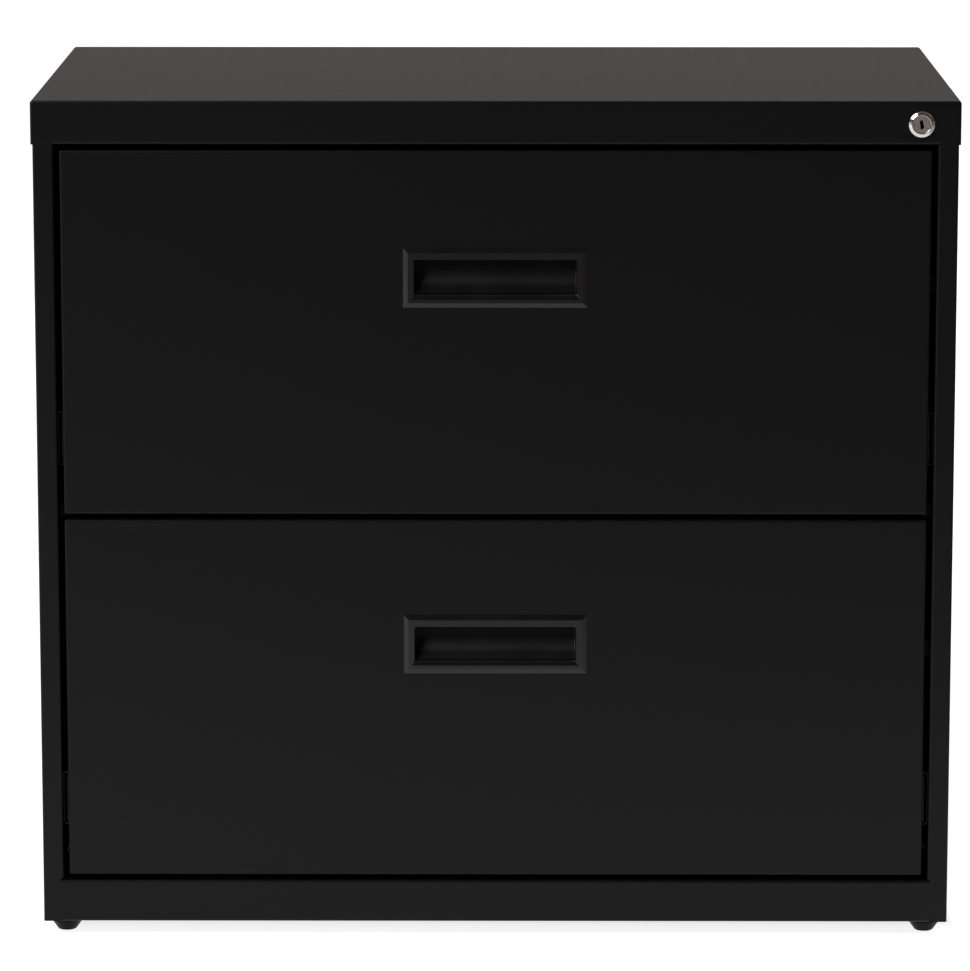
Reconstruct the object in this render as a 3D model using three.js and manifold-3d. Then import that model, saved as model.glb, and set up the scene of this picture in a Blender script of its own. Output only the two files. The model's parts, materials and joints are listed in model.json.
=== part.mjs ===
// A two-drawer lateral filing cabinet in folded steel sheet, in millimetres.
// +X is to the right, -Y to the front and +Z up. The origin is on the floor, under the cabinet's middle.

import * as THREE from "three";
import { mergeVertices } from "three/addons/utils/BufferGeometryUtils.js";
import Module from "manifold-3d";

const wasm = await Module();
wasm.setup();

// Overall size.
const WIDTH = 762; // across the top cover
const DEPTH = 448; // top cover, front to back
const HEIGHT = 705; // floor to the top surface

// Sheet metal.
const SHEET = 1; // case and drawer sheet
const COVER_SHEET = 1.2; // top cover sheet
const BEND = 1; // inside radius of a fold
const FIT = 0.3; // gap between two pieces where one seats on the other
const OVERRUN = 1; // how far a cutting tool reaches past what it cuts
const EMBED = 0.4; // how far a joined piece reaches into its neighbour
const PAN_CORNER = 0.4; // how much rounder a pressed pan's corners are than its edges

// Top cover.
const COVER_SKIRT = 36; // height of the skirt round the cover
const COVER_LAP = 0.4; // gap between the skirt and the case inside it, at the sides and back
const COVER_HEM = 12; // flange folded in along the front skirt's lower edge

// Side panels.
const STILE = 17; // width of the front stile
const STILE_LIP = 11; // lip folded back from the stile
const REAR_FLANGE = 15; // flange folded in at the back

// Base.
const GLIDE_HEIGHT = 13; // floor to the underside of the case
const BASE_RAIL = 35.4; // height of the base rails
const RAIL_TOP_FLANGE = 15;
const RAIL_FOOT_FLANGE = 55; // lower flange, which carries the feet and the bottom panel
const BOTTOM_LAP = 18; // how far the bottom panel lies on each base rail
const DIVIDER_HEIGHT = 13;
const DIVIDER_DEPTH = 26;

// Slide uprights.
const UPRIGHT_WIDTH = 40; // front to back
const UPRIGHT_DEPTH = 13; // in from the side panel
const UPRIGHT_SETBACK = 36; // from the case's front plane to the front pair
const UPRIGHT_REAR = 34; // from the case's back plane to the rear pair
const UPRIGHT_TOP_ROOM = 6; // below the top cover's plate

// Levelling glides.
const GLIDE_INSET = 17.5; // from the case's side to the stud's axis
const GLIDE_SETBACK = 26; // from the case's front or back plane to the stud's axis
const FOOT_R = 13.5; // widest part of the foot
const FOOT_SOLE_R = 7.5; // flat sole
const FOOT_RIM = 3.4; // height of the foot's straight rim
const STUD_R = 4;
const STUD_LENGTH = 24; // above the foot
const NUT_R = 7; // weld nut, centre to corner
const NUT_HEIGHT = 8;

// Drawer fronts.
const REVEAL = 4.8; // gap round each drawer front
const FRONT_DEPTH = 22; // thickness of a drawer front
const LINER_INSET = 0.4; // inner front panel, inside the front's outline

// Drawer bodies.
const BODY_LIFT = 8; // drawer body above the front's lower edge
const BODY_DROP = 43; // sides' upper edge below the front's upper edge
const SIDE_FLANGE = 12; // flanges folded in along a drawer side
const SIDE_TAB = 14; // flange folded in at a drawer side's front end
const BACK_FLANGE = 13; // flanges folded forward at a drawer back's ends
const BACK_DROP = 24; // drawer back's upper edge below the sides' upper edge
const BACK_ROOM = 28.9; // behind a drawer body, to the case's back plane

// File rails, which hang letter folders side to side.
const RAIL_THICKNESS = 3;
const RAIL_HEIGHT = 16;
const RAIL_RISE = 4; // above the drawer sides
const RAIL_SEAT = 7; // depth of the notch that a rail's end sits in
const RAIL_FRONT = 18; // from the inner front panel to the front rail
const RAIL_REAR = 59; // from the drawer back to the rear rail

// Telescopic slides.
const SLIDE_HEIGHT = 45.5;
const SLIDE_THICKNESS = 12.7;
const SLIDE_SHEET = 1.2;
const SLIDE_PLAY = 0.4; // running gap between two members
const SLIDE_LEVEL = 58; // slide's middle above the front's lower edge
const SLIDE_SETBACK = 35; // from the drawer face to the slide's front end
const SLIDE_TAIL = 12; // slide's rear end behind the rear upright
const CASE_LEG = 10; // case member's legs, from its outer face
const MIDDLE_OFFSET = 3.4; // middle member's web from the case member's outer face
const LIP_ROOM = 0.8; // drawer member's edges from the middle member's web

// Recessed pulls.
const PULL_DROP = 105; // from the front's upper edge to the pull's middle
const PULL_WIDTH = 152;
const PULL_HEIGHT = 49.5;
const PULL_PROUD = 2.4; // how far the frame stands out
const PULL_BEVEL = 4; // width of the bevel round the frame
const PULL_RIM = 0.5; // straight edge behind the bevel
const GRIP_WIDTH = 134.5; // finger opening
const GRIP_HEIGHT = 30.5;
const GRIP_ROOM = 0.7; // cup's back from the rear of the drawer front
const GRIP_RISE = 4; // finger space above the opening's upper edge
const GRIP_SCOOP = 12; // how far the floor of the finger space climbs
const PULL_WALL = 1.8;

// Lock.
const LOCK_INSET = 32.6; // from the cover's side to the lock's axis
const LOCK_DROP = 19; // from the top surface to the lock's axis
const LOCK_PROUD = 3; // how far the bezel stands out
const BEZEL_R = 10.8;
const BEZEL_ROUND = 2.2; // rounding of the bezel's front edge
const BARREL_R = 8.6; // housing through the cover
const BARREL_LENGTH = 26; // housing behind the cover's front face
const PLUG_R = 7;
const PLUG_SINK = 0.8; // plug's face behind the bezel's front
const KEYWAY_WIDTH = 2.4;
const KEYWAY_HEIGHT = 8;
const KEYWAY_DEPTH = 14;
const KEYWAY_TILT = 10; // degrees, with the drawers unlocked
const TAIL_SIDE = 6; // square tail that turns the cam
const LOCK_NUT_R = 12.4; // centre to corner
const LOCK_NUT_THICKNESS = 4;
const CAM_THICKNESS = 2.5;
const CAM_REACH = 16; // axis to pin
const CAM_END_R = 4.6; // rounding of the cam's arm about its pin
const CAM_HUB_R = 7.4;
const CAM_START = -45; // degrees, arm's angle with the drawers unlocked
const PIN_R = 2.5;
const SCREW_R = 1.8;
const SCREW_HEAD_R = 4.4;
const SCREW_HEAD = 2;
const SCREW_LENGTH = 8;

// Lock bar, its guides and the drawers' catches.
const BAR_THICKNESS = 2;
const BAR_WIDTH = 9;
const BAR_INSET = 2.2; // from the side panel to the bar
const BAR_WALL = 2.4; // metal round the bar's slot
const SLOT_PLAY = 0.6; // pin's play in the bar's slot
const TAB_HEIGHT = 14;
const TAB_REACH = 5; // how far a tab laps a catch
const TAB_ROOM = 4; // a lowered tab's top below the catch
const BAR_TAIL = 60; // bar below its lowest tab
const PIN_TIP = 1.5; // pin past the bar
const GUIDE_WALL = 1.4;
const GUIDE_HEIGHT = 14;
const GUIDE_UPPER_DROP = 60; // upper guide's foot below the cover's skirt
const GUIDE_LOWER_DROP = 34; // lower guide's foot below the lowest tab
const CATCH_LEVEL = 200; // catch above the front's lower edge
const CATCH_HEIGHT = 16;
const CATCH_THICKNESS = 1.6;
const CATCH_FOOT = 26; // catch's foot along the drawer side
const CATCH_REACH = 8; // catch's leg out from the drawer side
const CATCH_ROOM = 1.4; // catch behind the bar

// Curve steps.
const ROUND_SIDES = 28; // round pieces
const FOLD_STEPS = 1; // folds, as three.js counts a curve's divisions
const EDGE_STEPS = 2; // rounded edges of the pressed pans
const SCOOP_STEPS = 4; // scooped floor of the pulls

// Planes that follow from the sizes above.
const BACK = (DEPTH + LOCK_PROUD) / 2; // the back of the top cover
const FRONT = BACK - DEPTH; // front plane of the cover, stiles, base rail and drawer fronts
const COVER_WRAP = COVER_SHEET + COVER_LAP; // how far the cover laps the case at the sides and back
const CASE_X = WIDTH / 2 - COVER_WRAP; // outer face of a side panel
const CASE_BACK = BACK - COVER_WRAP; // rear face of the side panels' flanges
const CASE_TOP = HEIGHT - COVER_SHEET - BEND - FIT; // upper edge of the side panels
const INNER_X = CASE_X - SHEET; // inner face of a side panel
const OPENING_X = CASE_X - STILE; // inner edge of a stile
const SKIRT_Z = HEIGHT - COVER_SKIRT; // lower edge of the top cover
const BASE_TOP = GLIDE_HEIGHT + BASE_RAIL;
const BACK_PANEL_Y = CASE_BACK - SHEET - FIT; // rear face of the back panel
const REAR_RAIL_Y = BACK_PANEL_Y - SHEET - FIT; // rear face of the rear base rail
const FLANGE_TOP = GLIDE_HEIGHT + SHEET; // upper face of the base rails' lower flanges
const UPRIGHT_X = INNER_X - FIT - UPRIGHT_DEPTH; // uprights' inner face
const FRONT_UPRIGHT_Y = FRONT + UPRIGHT_SETBACK;
const REAR_UPRIGHT_Y = CASE_BACK - UPRIGHT_REAR - UPRIGHT_WIDTH;
const UPRIGHT_YS = { front: FRONT_UPRIGHT_Y, rear: REAR_UPRIGHT_Y };
const GLIDE_X = CASE_X - GLIDE_INSET;
const FRONT_GLIDE_Y = FRONT + GLIDE_SETBACK;
const REAR_GLIDE_Y = CASE_BACK - GLIDE_SETBACK;

const FRONT_WIDTH = 2 * (OPENING_X - REVEAL);
const FRONT_HEIGHT = (SKIRT_Z - BASE_TOP - 3 * REVEAL) / 2;
const LOWER_Z = BASE_TOP + REVEAL; // lower edge of the lower drawer front
const UPPER_Z = LOWER_Z + FRONT_HEIGHT + REVEAL; // lower edge of the upper drawer front

// The drawers are drawn with their face at y = 0 and the front's lower edge at z = 0.
const LINER_Y = FRONT_DEPTH + FIT; // front face of the inner front panel
const BODY_Y = LINER_Y + SHEET + FIT; // front end of the drawer sides
const BODY_END = CASE_BACK - FRONT - BACK_ROOM; // rear face of the drawer back
const SLIDE_X = UPRIGHT_X - FIT; // outer face of a slide
const BODY_X = SLIDE_X - SLIDE_THICKNESS - FIT; // outer face of a drawer side
const SIDE_HEIGHT = FRONT_HEIGHT - BODY_LIFT - BODY_DROP;
const SIDE_TOP = BODY_LIFT + SIDE_HEIGHT;
const FLOOR_Z = BODY_LIFT + SHEET + FIT; // underside of the drawer bottom
const WELL_X = BODY_X - SHEET - BEND - FIT; // half-width of what lies between the drawer sides
const RAIL_YS = { front: BODY_Y + RAIL_FRONT, rear: BODY_END - RAIL_REAR };
const SLIDE_LENGTH = REAR_UPRIGHT_Y + UPRIGHT_WIDTH + SLIDE_TAIL - (FRONT + SLIDE_SETBACK);

const GRIP_DEPTH = FRONT_DEPTH - PULL_WALL - GRIP_ROOM; // from the drawer face to the finger space's back
const PULL_Z = FRONT_HEIGHT - PULL_DROP;

const LOCK_X = WIDTH / 2 - LOCK_INSET;
const LOCK_Z = HEIGHT - LOCK_DROP;
const CAM_Y = FRONT + BARREL_LENGTH + FIT; // front face of the cam
const BAR_Y = CAM_Y + CAM_THICKNESS + FIT; // front face of the lock bar
const BAR_X = INNER_X - BAR_INSET; // outer edge of the lock bar
const CATCH_Y = BAR_Y + BAR_THICKNESS + CATCH_ROOM; // front face of a catch
const CATCH_X = BODY_X + FIT + CATCH_REACH; // outer edge of a catch

// Finishes.
const paint = { color: 0x1b1b1d, roughness: 0.5, metalness: 0.1 };
const moulding = { color: 0x242426, roughness: 0.45, metalness: 0 };
const chrome = { color: 0xc9cbcd, roughness: 0.12, metalness: 1 };
const nickel = { color: 0xa39b8f, roughness: 0.3, metalness: 1 };
const zinc = { color: 0x5a5b5e, roughness: 0.45, metalness: 0.9 };
const nylon = { color: 0x161617, roughness: 0.6, metalness: 0 };

// A closed mesh as a solid that can be joined and cut.
function solid(geometry) {
  const bare = new THREE.BufferGeometry();
  bare.setAttribute("position", geometry.getAttribute("position"));
  bare.setIndex(geometry.getIndex());
  const merged = mergeVertices(bare);
  const corners = merged.getIndex().array;
  const triVerts = [];
  for (let i = 0; i < corners.length; i += 3) {
    const [a, b, c] = corners.subarray(i, i + 3);
    if (a !== b && b !== c && c !== a) triVerts.push(a, b, c);
  }
  const vertProperties = merged.getAttribute("position").array;
  return new wasm.Manifold(
    new wasm.Mesh({ numProp: 3, vertProperties, triVerts: new Uint32Array(triVerts) }),
  );
}

// The geometry of a first solid with more joined to it, and the cuts then taken out.
function shaped(first, { joined = [], cuts = [] } = {}) {
  let body = solid(first);
  for (const piece of joined) body = body.add(solid(piece));
  for (const tool of cuts) body = body.subtract(solid(tool));
  const mesh = body.getMesh();
  const geometry = new THREE.BufferGeometry();
  geometry.setAttribute("position", new THREE.BufferAttribute(mesh.vertProperties, 3));
  geometry.setIndex(new THREE.BufferAttribute(mesh.triVerts, 1));
  geometry.computeVertexNormals();
  return geometry;
}

// A block between two x, two y and two z planes.
function block([x0, x1], [y0, y1], [z0, z1]) {
  const geometry = new THREE.BoxGeometry(x1 - x0, y1 - y0, z1 - z0);
  return geometry.translate((x0 + x1) / 2, (y0 + y1) / 2, (z0 + z1) / 2);
}

// A round bar along Y.
function roundBar(radius, [y0, y1], x, z) {
  const geometry = new THREE.CylinderGeometry(radius, radius, y1 - y0, ROUND_SIDES);
  return geometry.translate(x, (y0 + y1) / 2, z);
}

// A round bar along Z.
function roundPost(radius, [z0, z1], x, y) {
  const geometry = new THREE.CylinderGeometry(radius, radius, z1 - z0, ROUND_SIDES);
  return geometry.rotateX(Math.PI / 2).translate(x, y, (z0 + z1) / 2);
}

// An outline drawn in X and Y, extruded up from z0 to z1.
function alongZ(shape, [z0, z1]) {
  const options = { depth: z1 - z0, bevelEnabled: false, curveSegments: FOLD_STEPS };
  return new THREE.ExtrudeGeometry(shape, options).translate(0, 0, z0);
}

// An outline drawn in Y and Z, extruded from x0 to x1.
function alongX(shape, [x0, x1], curveSegments = FOLD_STEPS) {
  const options = { depth: x1 - x0, bevelEnabled: false, curveSegments };
  const turn = new THREE.Matrix4().makeBasis(
    new THREE.Vector3(0, 1, 0),
    new THREE.Vector3(0, 0, 1),
    new THREE.Vector3(1, 0, 0),
  );
  return new THREE.ExtrudeGeometry(shape, options).applyMatrix4(turn).translate(x0, 0, 0);
}

// An outline drawn in X and Z, extruded from y0 to y1.
function alongY(shape, [y0, y1], curveSegments = FOLD_STEPS) {
  const options = { depth: y1 - y0, bevelEnabled: false, curveSegments };
  const turn = new THREE.Matrix4().makeBasis(
    new THREE.Vector3(1, 0, 0),
    new THREE.Vector3(0, 0, 1),
    new THREE.Vector3(0, -1, 0),
  );
  return new THREE.ExtrudeGeometry(shape, options).applyMatrix4(turn).translate(0, y1, 0);
}

// The section of a folded sheet. The path runs along its outer face, with the metal on the left of the path
// and every fold to the left.
function foldedSheet(path, thickness = SHEET) {
  const points = path.map(([x, y]) => new THREE.Vector2(x, y));
  const along = points.slice(1).map((point, i) => point.clone().sub(points[i]).normalize());
  const inward = along.map((d) => new THREE.Vector2(-d.y, d.x));
  const outer = BEND + thickness;
  const folds = along.slice(1).map((next, i) => {
    const turn = along[i].angleTo(next);
    const back = outer * Math.tan(turn / 2);
    const centre = points[i + 1].clone().addScaledVector(along[i], -back);
    centre.addScaledVector(inward[i], outer);
    const start = Math.atan2(-inward[i].y, -inward[i].x);
    return { centre, start, end: start + turn };
  });
  const last = points.length - 1;
  const nearTip = points[0].clone().addScaledVector(inward[0], thickness);
  const farTip = points[last].clone().addScaledVector(inward[last - 1], thickness);
  const shape = new THREE.Shape();
  shape.moveTo(nearTip.x, nearTip.y);
  shape.lineTo(points[0].x, points[0].y);
  for (const { centre, start, end } of folds) {
    shape.absarc(centre.x, centre.y, outer, start, end, false);
  }
  shape.lineTo(points[last].x, points[last].y);
  shape.lineTo(farTip.x, farTip.y);
  for (const { centre, start, end } of folds.toReversed()) {
    shape.absarc(centre.x, centre.y, BEND, end, start, true);
  }
  shape.closePath();
  return shape;
}

// A closed outline through straight points.
function polygon(points) {
  return new THREE.Shape(points.map(([x, y]) => new THREE.Vector2(x, y)));
}

// A rectangle about the origin.
function rectangle(width, height) {
  const x = width / 2;
  const y = height / 2;
  return polygon([
    [-x, -y],
    [x, -y],
    [x, y],
    [-x, y],
  ]);
}

// A rectangle about the origin with rounded corners.
function roundedRectangle(width, height, radius) {
  const x = width / 2 - radius;
  const y = height / 2 - radius;
  const shape = new THREE.Shape();
  shape.absarc(x, y, radius, 0, Math.PI / 2, false);
  shape.absarc(-x, y, radius, Math.PI / 2, Math.PI, false);
  shape.absarc(-x, -y, radius, Math.PI, 1.5 * Math.PI, false);
  shape.absarc(x, -y, radius, 1.5 * Math.PI, 2 * Math.PI, false);
  shape.closePath();
  return shape;
}

// A block with its upper edges and upright corners rounded. It reaches below z = 0 by the rounding.
function crownedBlock(width, depth, height, round) {
  const shape = roundedRectangle(width, depth, round + PAN_CORNER);
  return new THREE.ExtrudeGeometry(shape, {
    depth: height - round,
    bevelThickness: round,
    bevelSize: round,
    bevelOffset: -round,
    bevelSegments: EDGE_STEPS,
    curveSegments: FOLD_STEPS,
  });
}

// A pan pressed from one sheet, face up: a plate with a skirt down to z = 0 on its four sides.
function pan(width, depth, height, thickness, { joined = [], cuts = [] } = {}) {
  const hollow = crownedBlock(width - 2 * thickness, depth - 2 * thickness, height - thickness, BEND);
  const below = block([-width, width], [-depth, depth], [-height, 0]);
  const shell = shaped(crownedBlock(width, depth, height, BEND + thickness), { cuts: [hollow, below] });
  return shaped(shell, { joined, cuts });
}

// A regular hexagon, corner to the right.
function hexagon(radius, x, z) {
  const corners = Array.from({ length: 6 }, (_, i) => (i * Math.PI) / 3);
  return polygon(corners.map((a) => [x + radius * Math.cos(a), z + radius * Math.sin(a)]));
}

// A solid of revolution about Y, from its half-section in radius and height.
function turned(profile) {
  return new THREE.LatheGeometry(profile.map(([r, y]) => new THREE.Vector2(r, y)), ROUND_SIDES);
}

// A named piece of the cabinet.
function piece(name, geometry, finish) {
  const mesh = new THREE.Mesh(geometry, new THREE.MeshStandardMaterial(finish));
  mesh.name = name;
  return mesh;
}

// The left-hand twin of a right-hand piece.
function leftOf(name, rightPiece, finish) {
  const mesh = piece(name, rightPiece.geometry, finish);
  mesh.scale.x = -1;
  return mesh;
}

// The top cover laps the case on four sides, and the lock goes through its front skirt.
function topCover() {
  const middleY = (FRONT + BACK) / 2;
  const hem = block(
    [-(OPENING_X - FIT), OPENING_X - FIT],
    [FRONT + COVER_SHEET - EMBED - middleY, FRONT + COVER_HEM - middleY],
    [0, COVER_SHEET],
  );
  const lockHole = roundBar(
    BARREL_R + FIT,
    [FRONT - OVERRUN - middleY, FRONT + COVER_SHEET + OVERRUN - middleY],
    LOCK_X,
    LOCK_Z - SKIRT_Z,
  );
  const cover = piece(
    "top_cover",
    pan(WIDTH, DEPTH, COVER_SKIRT, COVER_SHEET, { joined: [hem], cuts: [lockHole] }),
    paint,
  );
  cover.position.set(0, middleY, SKIRT_Z);
  return cover;
}

// Each side panel is one sheet: lip, stile, side and rear flange. The stile stops under the cover's front
// skirt, flush with it, and the side goes on up inside the cover.
function sidePanels() {
  const section = foldedSheet([
    [OPENING_X, FRONT + STILE_LIP],
    [OPENING_X, FRONT],
    [CASE_X, FRONT],
    [CASE_X, CASE_BACK],
    [CASE_X - REAR_FLANGE, CASE_BACK],
  ]);
  const skirtRoom = block(
    [OPENING_X - OVERRUN, CASE_X + OVERRUN],
    [FRONT - OVERRUN, FRONT + STILE_LIP + FIT],
    [SKIRT_Z - FIT, CASE_TOP + OVERRUN],
  );
  const sheet = alongZ(section, [GLIDE_HEIGHT, CASE_TOP]);
  const right = piece("right_side_panel", shaped(sheet, { cuts: [skirtRoom] }), paint);
  return [right, leftOf("left_side_panel", right, paint)];
}

function backPanel() {
  const x = INNER_X - BEND - FIT;
  const panel = block([-x, x], [BACK_PANEL_Y - SHEET, BACK_PANEL_Y], [GLIDE_HEIGHT, CASE_TOP]);
  return piece("back_panel", shaped(panel), paint);
}

// The base rails' lower flanges reach out past the stiles to carry the feet.
function baseRails() {
  const frontSection = foldedSheet([
    [FRONT + RAIL_TOP_FLANGE, BASE_TOP],
    [FRONT, BASE_TOP],
    [FRONT, GLIDE_HEIGHT],
    [FRONT + RAIL_FOOT_FLANGE, GLIDE_HEIGHT],
  ]);
  const rearSection = foldedSheet([
    [REAR_RAIL_Y - RAIL_FOOT_FLANGE, GLIDE_HEIGHT],
    [REAR_RAIL_Y, GLIDE_HEIGHT],
    [REAR_RAIL_Y, BASE_TOP],
    [REAR_RAIL_Y - RAIL_TOP_FLANGE, BASE_TOP],
  ]);
  const frontEnd = OPENING_X - FIT;
  const rearEnd = INNER_X - BEND - FIT;
  const wings = block(
    [-rearEnd, rearEnd],
    [FRONT + STILE_LIP + FIT, FRONT + RAIL_FOOT_FLANGE],
    [GLIDE_HEIGHT, FLANGE_TOP],
  );
  const studHoles = (y) =>
    [-GLIDE_X, GLIDE_X].map((x) =>
      roundPost(STUD_R + FIT, [GLIDE_HEIGHT - OVERRUN, FLANGE_TOP + OVERRUN], x, y),
    );
  const front = shaped(alongX(frontSection, [-frontEnd, frontEnd]), {
    joined: [wings],
    cuts: studHoles(FRONT_GLIDE_Y),
  });
  const rear = shaped(alongX(rearSection, [-rearEnd, rearEnd]), { cuts: studHoles(REAR_GLIDE_Y) });
  return [piece("front_base_rail", front, paint), piece("rear_base_rail", rear, paint)];
}

// A flat sheet that lies on the base rails' lower flanges, notched round the uprights.
function bottomPanel() {
  const x = INNER_X - FIT;
  const front = FRONT + RAIL_FOOT_FLANGE - BOTTOM_LAP;
  const rear = REAR_RAIL_Y - RAIL_FOOT_FLANGE + BOTTOM_LAP;
  const underside = FLANGE_TOP + FIT;
  const panel = block([-x, x], [front, rear], [underside, underside + SHEET]);
  const notches = Object.values(UPRIGHT_YS).flatMap((y) =>
    [-1, 1].map((side) =>
      block(
        [UPRIGHT_X - FIT, INNER_X + OVERRUN].map((edge) => side * edge).sort((a, b) => a - b),
        [y - FIT, y + UPRIGHT_WIDTH + FIT],
        [underside - OVERRUN, underside + SHEET + OVERRUN],
      ),
    ),
  );
  return piece("bottom_panel", shaped(panel, { cuts: notches }), paint);
}

// A channel across the case behind the gap between the two drawer fronts.
function dividerRail() {
  const middle = UPPER_Z - REVEAL / 2;
  const low = middle - DIVIDER_HEIGHT / 2;
  const high = middle + DIVIDER_HEIGHT / 2;
  const section = foldedSheet([
    [FRONT_UPRIGHT_Y + DIVIDER_DEPTH, high],
    [FRONT_UPRIGHT_Y, high],
    [FRONT_UPRIGHT_Y, low],
    [FRONT_UPRIGHT_Y + DIVIDER_DEPTH, low],
  ]);
  const end = UPRIGHT_X - FIT;
  return piece("drawer_divider_rail", shaped(alongX(section, [-end, end])), paint);
}

// Four channels stand on the base rails, against the side panels, and carry the slides.
function uprights() {
  const foot = FLANGE_TOP + FIT;
  const head = HEIGHT - COVER_SHEET - UPRIGHT_TOP_ROOM;
  const wall = INNER_X - FIT;
  return Object.entries(UPRIGHT_YS).flatMap(([place, y]) => {
    const section = foldedSheet([
      [wall, y + UPRIGHT_WIDTH],
      [UPRIGHT_X, y + UPRIGHT_WIDTH],
      [UPRIGHT_X, y],
      [wall, y],
    ]);
    const right = piece(`right_${place}_upright`, shaped(alongZ(section, [foot, head])), paint);
    return [right, leftOf(`left_${place}_upright`, right, paint)];
  });
}

// A foot with its stud, and the weld nut that the stud screws into.
function glide(name, x, y) {
  const top = GLIDE_HEIGHT - FIT;
  const profile = [
    [0, 0],
    [FOOT_SOLE_R, 0],
    [FOOT_R, top - FOOT_RIM],
    [FOOT_R, top],
    [STUD_R, top],
    [STUD_R, top + STUD_LENGTH],
    [0, top + STUD_LENGTH],
  ];
  const foot = shaped(turned(profile).rotateX(Math.PI / 2));
  const nutFoot = FLANGE_TOP + FIT;
  const nutSpan = [nutFoot, nutFoot + NUT_HEIGHT];
  const bore = roundPost(STUD_R + FIT, [nutFoot - OVERRUN, nutFoot + NUT_HEIGHT + OVERRUN], 0, 0);
  const nut = shaped(alongZ(hexagon(NUT_R, 0, 0), nutSpan), { cuts: [bore] });
  const group = new THREE.Group();
  group.position.set(x, y, 0);
  group.add(piece(`${name}_glide`, foot, nylon), piece(`${name}_glide_nut`, nut, zinc));
  return group;
}

function glides() {
  return [
    glide("front_left", -GLIDE_X, FRONT_GLIDE_Y),
    glide("front_right", GLIDE_X, FRONT_GLIDE_Y),
    glide("rear_left", -GLIDE_X, REAR_GLIDE_Y),
    glide("rear_right", GLIDE_X, REAR_GLIDE_Y),
  ];
}

// The drawer front is a pan with a hole for the pull's cup, closed at the back by the inner front panel.
function drawerFront(level) {
  const holeX = GRIP_WIDTH / 2 + PULL_WALL + FIT;
  const holeLow = PULL_Z - FRONT_HEIGHT / 2 - GRIP_HEIGHT / 2 - PULL_WALL - FIT;
  const holeHigh = PULL_Z - FRONT_HEIGHT / 2 + GRIP_HEIGHT / 2 + GRIP_RISE + PULL_WALL + FIT;
  const hole = block(
    [-holeX, holeX],
    [holeLow, holeHigh],
    [FRONT_DEPTH - SHEET - OVERRUN, FRONT_DEPTH + OVERRUN],
  );
  const front = piece(
    `${level}_drawer_front`,
    pan(FRONT_WIDTH, FRONT_HEIGHT, FRONT_DEPTH, SHEET, { cuts: [hole] }),
    paint,
  );
  front.rotation.x = Math.PI / 2;
  front.position.set(0, FRONT_DEPTH, FRONT_HEIGHT / 2);
  const linerX = FRONT_WIDTH / 2 - LINER_INSET;
  const liner = block(
    [-linerX, linerX],
    [LINER_Y, LINER_Y + SHEET],
    [LINER_INSET, FRONT_HEIGHT - LINER_INSET],
  );
  return [front, piece(`${level}_drawer_inner_front`, shaped(liner), paint)];
}

// The pull is one moulding: a bevelled frame that stands proud of the face, and a cup with a scooped floor
// and a lip at the top for the fingers.
function pull(level) {
  const half = GRIP_HEIGHT / 2;
  const roof = half + GRIP_RISE;
  const frameBack = -FIT;
  const frame = new THREE.ExtrudeGeometry(rectangle(PULL_WIDTH, PULL_HEIGHT), {
    depth: PULL_PROUD,
    bevelThickness: PULL_PROUD - FIT - PULL_RIM,
    bevelSize: PULL_BEVEL,
    bevelOffset: -PULL_BEVEL,
    bevelSegments: 1,
  });
  frame.rotateX(Math.PI / 2);
  frame.translate(0, -PULL_RIM - FIT + PULL_PROUD, 0);
  const behind = block([-PULL_WIDTH, PULL_WIDTH], [frameBack, FRONT_DEPTH], [-PULL_HEIGHT, PULL_HEIGHT]);
  const bezel = shaped(frame, { cuts: [behind] });
  const cupX = GRIP_WIDTH / 2 + PULL_WALL;
  const cup = block(
    [-cupX, cupX],
    [frameBack - EMBED, GRIP_DEPTH + PULL_WALL],
    [-half - PULL_WALL, roof + PULL_WALL],
  );
  const space = new THREE.Shape();
  space.moveTo(-PULL_PROUD - OVERRUN, half);
  space.lineTo(-PULL_PROUD - OVERRUN, -half);
  space.absellipse(0, GRIP_SCOOP - half, GRIP_DEPTH, GRIP_SCOOP, -Math.PI / 2, 0, false, 0);
  space.lineTo(GRIP_DEPTH, roof);
  space.lineTo(PULL_WALL, roof);
  space.lineTo(PULL_WALL, half);
  space.closePath();
  const fingers = alongX(space, [-GRIP_WIDTH / 2, GRIP_WIDTH / 2], SCOOP_STEPS);
  const mesh = piece(`${level}_drawer_pull`, shaped(bezel, { joined: [cup], cuts: [fingers] }), moulding);
  mesh.position.z = PULL_Z;
  return mesh;
}

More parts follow.
